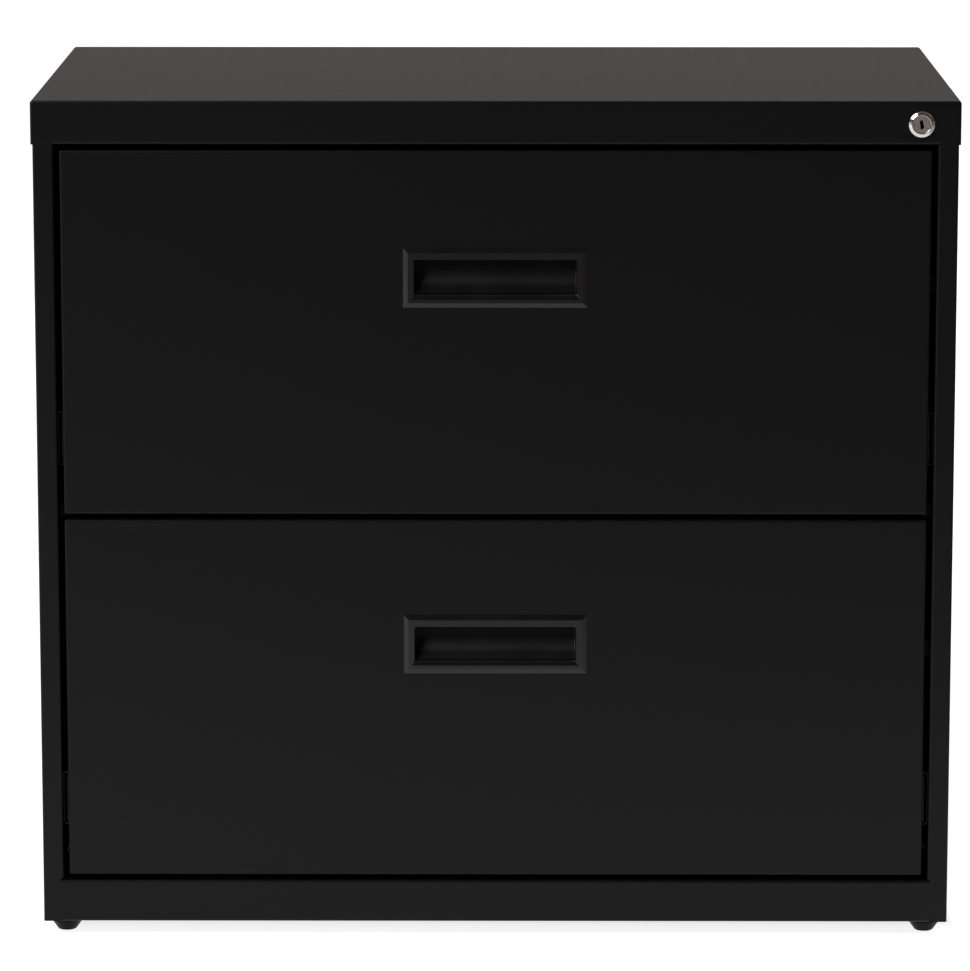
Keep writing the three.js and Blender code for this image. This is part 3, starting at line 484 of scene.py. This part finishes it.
def lock_nickel(values):
    """Satin nickel, a little warm, with painted shade that darkens it down in the key slot."""
    material = plated("lock_nickel", values.nickel, 0.34, 1400, (1, 1, 0.2))
    tree = material.node_tree
    tint = tree.nodes["Principled BSDF"].inputs["Base Color"]
    place = tree.nodes.new("ShaderNodeTexCoord")
    axes = tree.nodes.new("ShaderNodeSeparateXYZ")
    tree.links.new(place.outputs["Object"], axes.inputs[0])
    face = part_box("lock_plug")[0].y
    # Painted shade: the colour falls to a few hundredths of the nickel just behind the plug's face, in the key slot.
    inside = remap(tree, axes.outputs["Y"], (face + 0.3 * MM, face + 1.2 * MM), (0, 1), smooth=True)
    dark = [part * 0.06 for part in values.nickel]
    tree.links.new(mix(tree, inside, tint.links[0].from_socket, dark), tint)
    return material


def zinc_steel(values):
    """Black zinc on rolled steel, with the rolling grain along the drawers' travel."""
    return plated("zinc_steel", values.zinc, 0.42, 900, (1, 0.05, 1))


def glide_nylon(values):
    """Matt black nylon."""
    material, tree, surface = new_finish("glide_nylon")
    cloud = noise(tree, 60, 3)
    tree.links.new(shades(tree, cloud, values.nylon, 0.15), surface.inputs["Base Color"])
    tree.links.new(spread(tree, cloud, 0.38, 0.46), surface.inputs["Roughness"])
    surface.inputs["Specular IOR Level"].default_value = 0.10
    bump(tree, surface, noise(tree, 1500, 2), 0.15, 0.00006)
    return material


FINISHES = {maker.__name__: maker for maker in (
    black_paint, pull_moulding, lock_chrome, lock_nickel, zinc_steel, glide_nylon
)}


def finish(slot):
    """The material of a slot, made when it is first asked for."""
    made = bpy.data.materials.get(FINISH_NAME.format(slot))
    return made or FINISHES[slot](bpy.context.scene.cabinet_finish)


# Pieces of the case.


class CABINET_OT_top_cover(Operator):
    """Folds the top cover, with its front hem and the lock's hole"""

    bl_idname = "cabinet.top_cover"
    bl_label = "Top Cover"

    def execute(self, context):
        shape = context.scene.cabinet_shape
        fold = shape.bend + shape.cover_sheet
        bm = new_box(COVER_LOW, COVER_HIGH)
        drop_faces(bm, lambda face: face.normal.z < -0.5)
        round_edges(bm, inner_edges(bm), fold, shape.fold_steps)
        front = [face for face in bm.faces if face.normal.y < -0.99]
        for turn in (-1, 1):
            cut(bm, X_AXIS * turn * STILE_EDGE, X_AXIS, front)
            front = [face for face in bm.faces if face.normal.y < -0.99]
        level = COVER_LOW.z + fold
        middle = [face for face in front if abs(face.calc_center_median().x) < STILE_EDGE]
        cut(bm, Z_AXIS * level, Z_AXIS, middle)
        drop_faces(bm, lambda face: face.normal.y < -0.99 and all(
            vert.co.z < level + TINY and abs(vert.co.x) < STILE_EDGE + TINY for vert in face.verts
        ))
        edge = [
            edge for edge in bm.edges
            if edge.is_boundary and all(abs(vert.co.z - level) < TINY for vert in edge.verts)
        ]
        self.fold_hem(bm, edge, fold, level, shape)
        punch_hole(
            bm, Vector((LOCK_AXIS.x, FRONT, LOCK_AXIS.z)), -Y_AXIS, 13 * MM, self.hole_radius(shape), 32
        )
        face_outward(bm, Z_AXIS)
        thicken(bm, shape.cover_sheet)

        def free_rim(edge):
            low = all(vert.co.z < COVER_LOW.z + TINY for vert in edge.verts)
            return low and all(vert.co.y > FRONT + fold for vert in edge.verts)

        round_edges(bm, sharp_edges(bm, 60, free_rim), shape.rim, 2)
        add_piece(bm, "top_cover_skin", "case", "black_paint", "top_cover")
        return {"FINISHED"}

    @staticmethod
    def fold_hem(bm, edges, fold, level, shape):
        """Rolls the skirt's lower edge back and runs the hem out behind it."""
        verts = {vert for edge in edges for vert in edge.verts}
        rolled = bmesh.ops.spin(
            bm, geom=[*verts, *edges], cent=(0, FRONT + fold, level), axis=X_AXIS, angle=math.pi / 2,
            steps=shape.fold_steps,
        )["geom_last"]
        ends = [item for item in rolled if isinstance(item, bmesh.types.BMEdge)]
        extrude_edges(bm, ends, Y_AXIS * (shape.hem - fold))

    @staticmethod
    def hole_radius(shape):
        """The lock's barrel fills the hole."""
        return (LOCK_HIGH.x - LOCK_LOW.x) / 2 - 2 * MM


class CABINET_OT_side_panels(Operator):
    """Folds the side panels, whose front edges are the stiles"""

    bl_idname = "cabinet.side_panels"
    bl_label = "Side Panels"

    def execute(self, context):
        shape = context.scene.cabinet_shape
        fold = shape.bend + shape.sheet
        for side, turn in SIDES.items():
            low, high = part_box(f"{side}_side_panel")
            outer = max(abs(low.x), abs(high.x))
            path = [
                (STILE_EDGE, FRONT + shape.stile_lip),
                (STILE_EDGE, FRONT),
                (outer, FRONT),
                (outer, high.y),
                (outer - shape.rear_flange, high.y),
            ]
            bm = folded_sheet(
                [Vector((turn * x, y, low.z)) for x, y in path], Z_AXIS * (high.z - low.z),
                turn * X_AXIS, fold, shape.fold_steps,
            )
            relief = RAIL_TOP + shape.corner_relief
            for level in (COVER_LOW.z, relief):
                cut(bm, Z_AXIS * level, Z_AXIS)

            def under_cover(face):
                centre = face.calc_center_median()
                stile = centre.y < FRONT + fold or (abs(centre.x) < STILE_EDGE + fold and centre.y < 0)
                return stile and centre.z > COVER_LOW.z

            def beside_rail(face):
                centre = face.calc_center_median()
                return abs(centre.x) < STILE_EDGE + fold and centre.y < 0 and centre.z < relief

            drop_faces(bm, under_cover)
            drop_faces(bm, beside_rail)
            thicken(bm, shape.sheet)
            add_piece(bm, f"{side}_side_skin", "case", "black_paint", f"{side}_side_panel")
        return {"FINISHED"}


class CABINET_OT_base_rail(Operator):
    """Folds the front base rail, which runs flush into the stiles and carries the front feet"""

    bl_idname = "cabinet.base_rail"
    bl_label = "Base Rail"

    def execute(self, context):
        shape = context.scene.cabinet_shape
        fold = shape.bend + shape.sheet
        low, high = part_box("front_base_rail")
        end = STILE_EDGE + fold
        path = [
            (FRONT + shape.rail_top_flange, high.z),
            (FRONT, high.z),
            (FRONT, low.z),
            (high.y, low.z),
        ]
        bm = folded_sheet(
            [Vector((low.x, y, z)) for y, z in path], X_AXIS * (high.x - low.x), -Y_AXIS, fold, shape.fold_steps
        )
        wing_front = FRONT + shape.stile_lip + shape.bend
        cut(bm, Y_AXIS * wing_front, Y_AXIS)

        def before_wings(face):
            centre = face.calc_center_median()
            return centre.y < wing_front or centre.z > low.z + TINY

        for turn in (-1, 1):
            cut(bm, X_AXIS * turn * end, X_AXIS, filter(before_wings, bm.faces))
        drop_faces(bm, lambda face: before_wings(face) and abs(face.calc_center_median().x) > end)
        for corner in ("front_left", "front_right"):
            foot_low, foot_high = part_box(f"{corner}_glide")
            centre = (foot_low + foot_high) / 2
            centre.z = low.z
            punch_hole(bm, centre, Z_AXIS, 8 * MM, shape.stud_radius + 0.3 * MM, 24)
        face_outward(bm, -Y_AXIS)
        thicken(bm, shape.sheet)
        add_piece(bm, "front_base_rail_skin", "case", "black_paint", "front_base_rail")
        return {"FINISHED"}


class CABINET_OT_feet(Operator):
    """Turns the levelling feet with their threaded studs"""

    bl_idname = "cabinet.feet"
    bl_label = "Feet"

    def execute(self, context):
        shape = context.scene.cabinet_shape
        for corner in CORNERS:
            low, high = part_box(f"{corner}_glide")
            radius = (high.x - low.x) / 2
            top = high.z - shape.stud_length
            turns = int(shape.stud_length / shape.thread_pitch)
            root = shape.stud_radius - 0.6 * shape.thread_pitch
            thread = []
            for turn in range(turns):
                foot = top + turn * shape.thread_pitch
                thread.append((root, foot + 0.1 * shape.thread_pitch))
                thread.append((shape.stud_radius, foot + 0.5 * shape.thread_pitch))
            sole = shape.sole_radius
            rim = top - shape.foot_rim
            profile = [(0, 0), (sole, 0), (radius, rim), (radius, top), *thread, (root, high.z), (0, high.z)]
            bm = turned(profile, shape.round_steps)
            round_edges(bm, ring_edges(bm, sole, 0), 1.2 * MM, 3)
            for height in (rim, top):
                round_edges(bm, ring_edges(bm, radius, height), 1.0 * MM, 3)
            middle = (low + high) / 2
            bmesh.ops.translate(bm, vec=(middle.x, middle.y, low.z), verts=bm.verts[:])
            add_piece(bm, f"{corner}_foot", f"{corner}_foot", "glide_nylon", f"{corner}_glide")
        return {"FINISHED"}


# Pieces of the drawers.


class CABINET_OT_drawer_fronts(Operator):
    """Presses the drawer fronts, with the holes for the pulls"""

    bl_idname = "cabinet.drawer_fronts"
    bl_label = "Drawer Fronts"

    def execute(self, context):
        shape = context.scene.cabinet_shape
        for level in LEVELS:
            low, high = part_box(f"{level}_drawer_front")
            pull_low, pull_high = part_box(f"{level}_drawer_pull")
            middle = (pull_low.z + pull_high.z) / 2
            bm = new_box(low, high)
            drop_faces(bm, lambda face: face.normal.y > 0.5)
            round_edges(bm, inner_edges(bm), shape.bend + shape.sheet, shape.fold_steps)
            half = shape.grip_width / 2 + shape.hole_margin
            sill = middle - shape.grip_height / 2 - shape.hole_margin
            lintel = middle + shape.grip_height / 2 + shape.grip_rise + shape.hole_margin
            for place, direction in (
                (X_AXIS * half, X_AXIS), (-X_AXIS * half, X_AXIS), (Z_AXIS * sill, Z_AXIS), (Z_AXIS * lintel, Z_AXIS)
            ):
                flat = [face for face in bm.faces if face.normal.y < -0.99]
                cut(bm, place, direction, flat)

            def in_hole(face):
                centre = face.calc_center_median()
                return face.normal.y < -0.99 and abs(centre.x) < half and sill < centre.z < lintel

            drop_faces(bm, in_hole)
            thicken(bm, shape.sheet)
            add_piece(bm, f"{level}_front_skin", f"{level}_drawer", "black_paint", f"{level}_drawer_front")
        return {"FINISHED"}


class CABINET_OT_pulls(Operator):
    """Moulds the recessed pulls: a mitred frame round a scooped finger space"""

    bl_idname = "cabinet.pulls"
    bl_label = "Pulls"

    def execute(self, context):
        shape = context.scene.cabinet_shape
        for level in LEVELS:
            low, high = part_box(f"{level}_drawer_pull")
            middle = Vector(((low.x + high.x) / 2, FRONT, (low.z + high.z) / 2))
            proud = FRONT - low.y
            bm = self.frame_face(low, high, middle, proud, shape)
            self.finger_space(bm, middle, proud, shape)
            face_outward(bm, -Y_AXIS)

            def on_end(edge):
                return all(abs(abs(vert.co.x - middle.x) - shape.grip_width / 2) < TINY for vert in edge.verts)

            def at_front(edge):
                return all(vert.co.y < FRONT - TINY for vert in edge.verts)

            def on_sill(edge):
                level = middle.z - shape.grip_height / 2
                return self.in_front(edge, low.y) and all(abs(vert.co.z - level) < TINY for vert in edge.verts)

            round_edges(bm, filter(on_sill, bm.edges[:]), shape.sill_round, 5)
            round_edges(
                bm, sharp_edges(bm, 60, lambda edge: on_end(edge) and not self.in_front(edge, low.y)),
                shape.grip_round, 4,
            )
            round_edges(bm, sharp_edges(bm, 12, at_front), 0.3 * MM, 2)
            thicken(bm, shape.pull_wall)
            add_piece(bm, f"{level}_pull_moulding", f"{level}_drawer", "pull_moulding", f"{level}_drawer_pull")
        return {"FINISHED"}

    @staticmethod
    def in_front(edge, plane):
        """Whether an edge lies in the frame's front plane."""
        return all(abs(vert.co.y - plane) < TINY for vert in edge.verts)

    @staticmethod
    def frame_face(low, high, middle, proud, shape):
        """The raised frame, drawn in to its bevel and then to the finger opening."""
        bm = new_box(Vector((low.x, FRONT - shape.pull_rim, low.z)), Vector((high.x, FRONT, high.z)))
        drop_faces(bm, lambda face: face.normal.y > 0.5)
        front = next(face for face in bm.faces if face.normal.y < -0.5)
        bmesh.ops.inset_region(
            bm, faces=[front], thickness=shape.pull_bevel, depth=proud - shape.pull_rim, use_even_offset=True
        )
        bmesh.ops.inset_region(bm, faces=[front], thickness=shape.pull_bevel, use_even_offset=True)
        wide = max(vert.co.x for vert in front.verts) - min(vert.co.x for vert in front.verts)
        tall = max(vert.co.z for vert in front.verts) - min(vert.co.z for vert in front.verts)
        bmesh.ops.scale(
            bm, vec=(shape.grip_width / wide, 1, shape.grip_height / tall), verts=front.verts[:],
            space=Matrix.Translation(-middle),
        )
        bmesh.ops.delete(bm, geom=[front], context="FACES_ONLY")
        return bm

    @staticmethod
    def finger_space(bm, middle, proud, shape):
        """The space behind the opening: a lip above, a leaning back and a floor that climbs to it."""
        half = shape.grip_height / 2
        roof = half + shape.grip_rise
        left = middle.x - shape.grip_width / 2

        def at(depth, height):
            return Vector((left, middle.y + depth, middle.z + height))

        foot = at(shape.grip_depth - shape.grip_lean, shape.grip_scoop - half)
        wire(bm, [
            at(-proud, -half), foot, at(shape.grip_depth, roof), at(shape.pull_wall, roof),
            at(shape.pull_wall, half), at(-proud, half),
        ])
        section = [edge for edge in bm.edges if not edge.link_faces]
        extrude_edges(bm, section, X_AXIS * shape.grip_width)
        bmesh.ops.remove_doubles(bm, verts=bm.verts[:], dist=TINY * 5)

        def at_foot(edge):
            return all((vert.co - foot).yz.length < TINY * 5 for vert in edge.verts)

        round_edges(bm, filter(at_foot, bm.edges[:]), shape.grip_curve, 10)
        ends = [
            edge for edge in bm.edges if edge.is_boundary and all(
                abs(abs(vert.co.x - middle.x) - shape.grip_width / 2) < TINY * 5 for vert in edge.verts
            )
        ]
        bmesh.ops.holes_fill(bm, edges=ends, sides=0)


class CABINET_OT_file_rails(Operator):
    """Draws the file rails that the folders hang on"""

    bl_idname = "cabinet.file_rails"
    bl_label = "File Rails"

    def execute(self, context):
        shape = context.scene.cabinet_shape
        for level in LEVELS:
            for place in ("front", "rear"):
                node = f"{level}_drawer_{place}_file_rail"
                bm = new_box(*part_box(node))
                round_edges(bm, bm.edges[:], shape.rail_round, 4)
                add_piece(bm, f"{level}_{place}_folder_rail", f"{level}_drawer", "zinc_steel", node)
        return {"FINISHED"}


class CABINET_OT_lock_catches(Operator):
    """Folds the catches on the drawers' sides, painted with the drawers, whose black also stands in for the shade in
    the gaps beside them
    """

    bl_idname = "cabinet.lock_catches"
    bl_label = "Lock Catches"

    def execute(self, context):
        shape = context.scene.cabinet_shape
        fold = shape.bend + shape.catch_sheet
        for level in LEVELS:
            node = f"{level}_drawer_lock_catch"
            low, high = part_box(node)
            path = [(low.x, high.y), (low.x, low.y), (high.x, low.y)]
            bm = folded_sheet(
                [Vector((x, y, low.z)) for x, y in path], Z_AXIS * (high.z - low.z), -Y_AXIS, fold,
                shape.fold_steps,
            )
            thicken(bm, shape.catch_sheet)
            round_edges(bm, sharp_edges(bm, 60), shape.rim, 2)
            add_piece(bm, f"{level}_catch", f"{level}_drawer", "black_paint", node)
        return {"FINISHED"}


class CABINET_OT_lock(Operator):
    """Turns the lock's housing and plug, with the key slot"""

    bl_idname = "cabinet.lock"
    bl_label = "Lock"

    def execute(self, context):
        shape = context.scene.cabinet_shape
        self.housing(shape)
        self.plug(shape)
        return {"FINISHED"}

    @staticmethod
    def place(bm):
        """Turns a piece that was drawn facing up so that it faces the front, on the lock's axis."""
        turn = Matrix.Rotation(math.pi / 2, 4, "X")
        bmesh.ops.transform(
            bm, matrix=Matrix.Translation((LOCK_AXIS.x, FRONT, LOCK_AXIS.z)) @ turn, verts=bm.verts[:]
        )

    def housing(self, shape):
        """The bezel and the barrel behind it."""
        bezel = (LOCK_HIGH.x - LOCK_LOW.x) / 2
        barrel = bezel - 2.2 * MM
        bore = shape.plug_radius + 0.15 * MM
        front = FRONT - LOCK_LOW.y
        back = FRONT - LOCK_HIGH.y
        rings = [(bezel, front - shape.bezel_drop), (bezel - shape.bezel_slope, front), (bore, front)]
        bm = turned([(bore, back), (barrel, back), (barrel, 0), (bezel, 0), *rings], shape.round_steps, closed=True)
        for radius, height in rings:
            round_edges(bm, ring_edges(bm, radius, height), shape.bezel_round, 4)
        self.place(bm)
        add_piece(bm, "lock_bezel", "case", "lock_chrome", "lock_housing")

    def plug(self, shape):
        """The plug, sunk a little in its bezel, with a leaning key slot."""
        low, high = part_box("lock_plug")
        face = FRONT - low.y
        back = FRONT - high.y
        bm = bmesh.new()
        bmesh.ops.create_circle(
            bm, segments=shape.round_steps, radius=shape.plug_radius, cap_ends=True,
            matrix=Matrix.Translation((0, 0, face)),
        )
        half = Vector((shape.keyway_width, shape.keyway_height, 0)) / 2
        for turn in (-1, 1):
            cut(bm, X_AXIS * turn * half.x, X_AXIS)
            cut(bm, Y_AXIS * turn * half.y, Y_AXIS)
        slot = min(bm.faces, key=lambda item: item.calc_center_median().xy.length)
        rim = [edge for edge in bm.edges if edge.is_boundary]
        tail = extrude_edges(bm, rim, Z_AXIS * (back - face))
        bmesh.ops.holes_fill(bm, edges=tail, sides=0)
        mouth = list(slot.edges)
        bmesh.ops.delete(bm, geom=[slot], context="FACES_ONLY")
        floor = extrude_edges(bm, mouth, Z_AXIS * -shape.keyway_depth)
        bmesh.ops.holes_fill(bm, edges=floor, sides=0)
        bmesh.ops.recalc_face_normals(bm, faces=bm.faces[:])

        def in_face(edge):
            return all(abs(vert.co.z - face) < TINY for vert in edge.verts)

        round_edges(bm, sharp_edges(bm, 60, in_face), 0.3 * MM, 2)
        bmesh.ops.rotate(
            bm, matrix=Matrix.Rotation(shape.keyway_tilt, 3, "Z"), verts=bm.verts[:], cent=(0, 0, 0)
        )
        self.place(bm)
        add_piece(bm, "lock_plug_face", "lock_cylinder", "lock_nickel", "lock_plug")


class CABINET_OT_finishes(Operator):
    """Gives the nodes that stay in view their finishes"""

    bl_idname = "cabinet.finishes"
    bl_label = "Finishes"

    def execute(self, context):
        slots = {part["node"]: part["material_slot"] for part in frame["record"]["subparts"]}
        for name, node in frame["nodes"].items():
            if not node.material_slots:
                node.data.materials.append(None)
            for holder in node.material_slots:
                holder.material = finish(PAINTED_OVER.get(name, slots[name]))
        return {"FINISHED"}


# Stage.


class CABINET_OT_stage(Operator):
    """Lays the pale floor and sets the light and the camera"""

    bl_idname = "cabinet.stage"
    bl_label = "Stage"

    def execute(self, context):
        values = context.scene.cabinet_stage
        self.floor(values)
        self.sky(values)
        self.lamp("key_light", (-2.6, -2.9, 3.4), 2.4, values.key_power)
        self.lamp("fill_light", (3.4, 1.6, 2.6), 3.0, values.fill_power)
        self.camera(values)
        context.scene.view_settings.view_transform = "Standard"
        return {"FINISHED"}

    @staticmethod
    def leftward(tree, axes):
        """A measure that falls towards the room before the cabinet, and slower on the left."""
        left = tree.nodes.new("ShaderNodeMath")
        left.operation = "MINIMUM"
        left.inputs[1].default_value = 0
        node = tree.nodes.new("ShaderNodeMath")
        node.operation = "MULTIPLY_ADD"
        node.inputs[1].default_value = -0.6
        tree.links.new(axes.outputs["X"], left.inputs[0])
        tree.links.new(left.outputs[0], node.inputs[0])
        tree.links.new(axes.outputs["Y"], node.inputs[2])
        return node.outputs[0]

    def floor(self, values):
        """A wide pale floor that keeps the cabinet's shadow and shows white round it, with a painted shadow beneath
        the cabinet where its own white is taken away.
        """
        bm = bmesh.new()
        bmesh.ops.create_grid(bm, x_segments=8, y_segments=8, size=40)
        mesh = bpy.data.meshes.new("floor")
        bm.to_mesh(mesh)
        bm.free()
        floor = bpy.data.objects.new("floor", mesh)
        bpy.context.scene.collection.objects.link(floor)
        material = bpy.data.materials.new("floor")
        material.use_nodes = True
        tree = material.node_tree
        tree.nodes.remove(tree.nodes["Principled BSDF"])
        matt = tree.nodes.new("ShaderNodeBsdfDiffuse")
        matt.inputs["Color"].default_value = (*values.floor, 1)
        place = tree.nodes.new("ShaderNodeTexCoord")
        axes = tree.nodes.new("ShaderNodeSeparateXYZ")
        reach = tree.nodes.new("ShaderNodeVectorMath")
        reach.operation = "LENGTH"
        tree.links.new(place.outputs["Object"], axes.inputs[0])
        tree.links.new(place.outputs["Object"], reach.inputs[0])
        white = remap(tree, reach.outputs["Value"], (1.2, 3.0), (values.floor_glow, 1), smooth=True)
        # Painted shadow: the floor's own white is taken away beneath the cabinet, fading in at its sides and just
        # inside its front and back.
        beside = remap(tree, combine(tree, "ABSOLUTE", axes.outputs["X"]), (0.372, 0.39), (0, 1), smooth=True)
        before = remap(tree, axes.outputs["Y"], (-0.20, -0.08), (1, 0), smooth=True)
        behind = remap(tree, axes.outputs["Y"], (0.11, 0.225), (0, 1), smooth=True)
        outside_painted_shadow = combine(tree, "MAXIMUM", beside, combine(tree, "MAXIMUM", before, behind))
        room = remap(tree, self.leftward(tree, axes), (-2.6, -0.2), (values.room, 1), smooth=True)
        right = remap(tree, axes.outputs["X"], (0.65, 1.2), (1, 5 * values.room), smooth=True)
        lit = combine(tree, "MULTIPLY", room, right)
        ray = tree.nodes.new("ShaderNodeLightPath").outputs
        mirrored = combine(tree, "MAXIMUM", ray["Is Glossy Ray"], ray["Is Transmission Ray"])
        seen = combine(tree, "MAXIMUM", ray["Is Camera Ray"], combine(tree, "MULTIPLY", mirrored, lit))
        strength = combine(tree, "MULTIPLY", combine(tree, "MULTIPLY", white, outside_painted_shadow), seen)
        light = tree.nodes.new("ShaderNodeEmission")
        tree.links.new(strength, light.inputs["Strength"])
        both = tree.nodes.new("ShaderNodeAddShader")
        tree.links.new(matt.outputs[0], both.inputs[0])
        tree.links.new(light.outputs[0], both.inputs[1])
        tree.links.new(both.outputs[0], tree.nodes["Material Output"].inputs["Surface"])
        mesh.materials.append(material)

    def sky(self, values):
        """Dim all round, white at the horizon and brighter overhead but before the cabinet."""
        world = bpy.data.worlds.new("studio")
        world.use_nodes = True
        bpy.context.scene.world = world
        tree = world.node_tree
        place = tree.nodes.new("ShaderNodeTexCoord")
        axes = tree.nodes.new("ShaderNodeSeparateXYZ")
        tree.links.new(place.outputs["Generated"], axes.inputs[0])
        edge = [math.sin(math.radians(angle)) for angle in (2.5, 7.5)]
        above = [math.sin(math.radians(angle)) for angle in (16, 40)]
        low = remap(tree, axes.outputs["Z"], edge, (1 - values.dome, 0), smooth=True)
        high = remap(tree, axes.outputs["Z"], above, (0, values.overhead - values.dome), smooth=True)
        room = remap(tree, self.leftward(tree, axes), (-0.6, 0.2), (0, 1), smooth=True)
        more = combine(tree, "MULTIPLY", combine(tree, "ADD", low, high), room)
        bright = remap(tree, more, (0, 1), (values.dome, 1 + values.dome))
        background = tree.nodes["Background"]
        warm = remap(tree, axes.outputs["Z"], edge, (0, 1), smooth=True)
        tint = mix(tree, warm, (1, 1, 1), values.dome_tint)
        tree.links.new(tint, background.inputs["Color"])
        tree.links.new(bright, background.inputs["Strength"])

    @staticmethod
    def lamp(name, place, size, power):
        """A square soft light that looks at the cabinet's middle."""
        light = bpy.data.lights.new(name, "AREA")
        light.shape = "SQUARE"
        light.size = size
        light.energy = power
        lamp = bpy.data.objects.new(name, light)
        bpy.context.scene.collection.objects.link(lamp)
        lamp.location = place
        middle = (CAD_BOX[0] + CAD_BOX[1]) / 2
        lamp.rotation_euler = (middle - lamp.location).to_track_quat("-Z", "Y").to_euler()

    @staticmethod
    def camera(values):
        """A long lens, a little above the cabinet's top."""
        data = bpy.data.cameras.new("camera")
        data.lens = values.lens
        camera = bpy.data.objects.new("camera", data)
        bpy.context.scene.collection.objects.link(camera)
        camera.location = values.camera_place
        toward = Vector(values.camera_aim) - camera.location
        camera.rotation_euler = toward.to_track_quat("-Z", "Y").to_euler()
        bpy.context.scene.camera = camera


PIECES = (
    CABINET_OT_finishes,
    CABINET_OT_top_cover,
    CABINET_OT_side_panels,
    CABINET_OT_base_rail,
    CABINET_OT_feet,
    CABINET_OT_drawer_fronts,
    CABINET_OT_pulls,
    CABINET_OT_file_rails,
    CABINET_OT_lock_catches,
    CABINET_OT_lock,
    CABINET_OT_stage,
)


class CABINET_PT_sidebar(Panel):
    """Lists the cabinet's sizes, finishes and pieces"""

    bl_idname = "CABINET_PT_sidebar"
    bl_label = "Filing Cabinet"
    bl_space_type = "VIEW_3D"
    bl_region_type = "UI"
    bl_category = "Cabinet"

    def draw(self, context):
        for group in (context.scene.cabinet_shape, context.scene.cabinet_finish, context.scene.cabinet_stage):
            column = self.layout.column(align=True)
            for name in group.bl_rna.properties.keys():
                if name not in ("rna_type", "name"):
                    column.prop(group, name)
        for maker in PIECES:
            self.layout.operator(maker.bl_idname)


GROUPS = {"cabinet_shape": CabinetShape, "cabinet_finish": CabinetFinish, "cabinet_stage": CabinetStage}


def register():
    for kind in (*GROUPS.values(), *PIECES, CABINET_PT_sidebar):
        bpy.utils.register_class(kind)
    for name, group in GROUPS.items():
        setattr(bpy.types.Scene, name, PointerProperty(type=group))


def unregister():
    for name in GROUPS:
        delattr(bpy.types.Scene, name)
    for kind in reversed((*GROUPS.values(), *PIECES, CABINET_PT_sidebar)):
        bpy.utils.unregister_class(kind)


def main():
    register()
    for maker in PIECES:
        family, name = maker.bl_idname.split(".")
        getattr(getattr(bpy.ops, family), name)()
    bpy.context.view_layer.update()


if __name__ == "__main__":
    main()
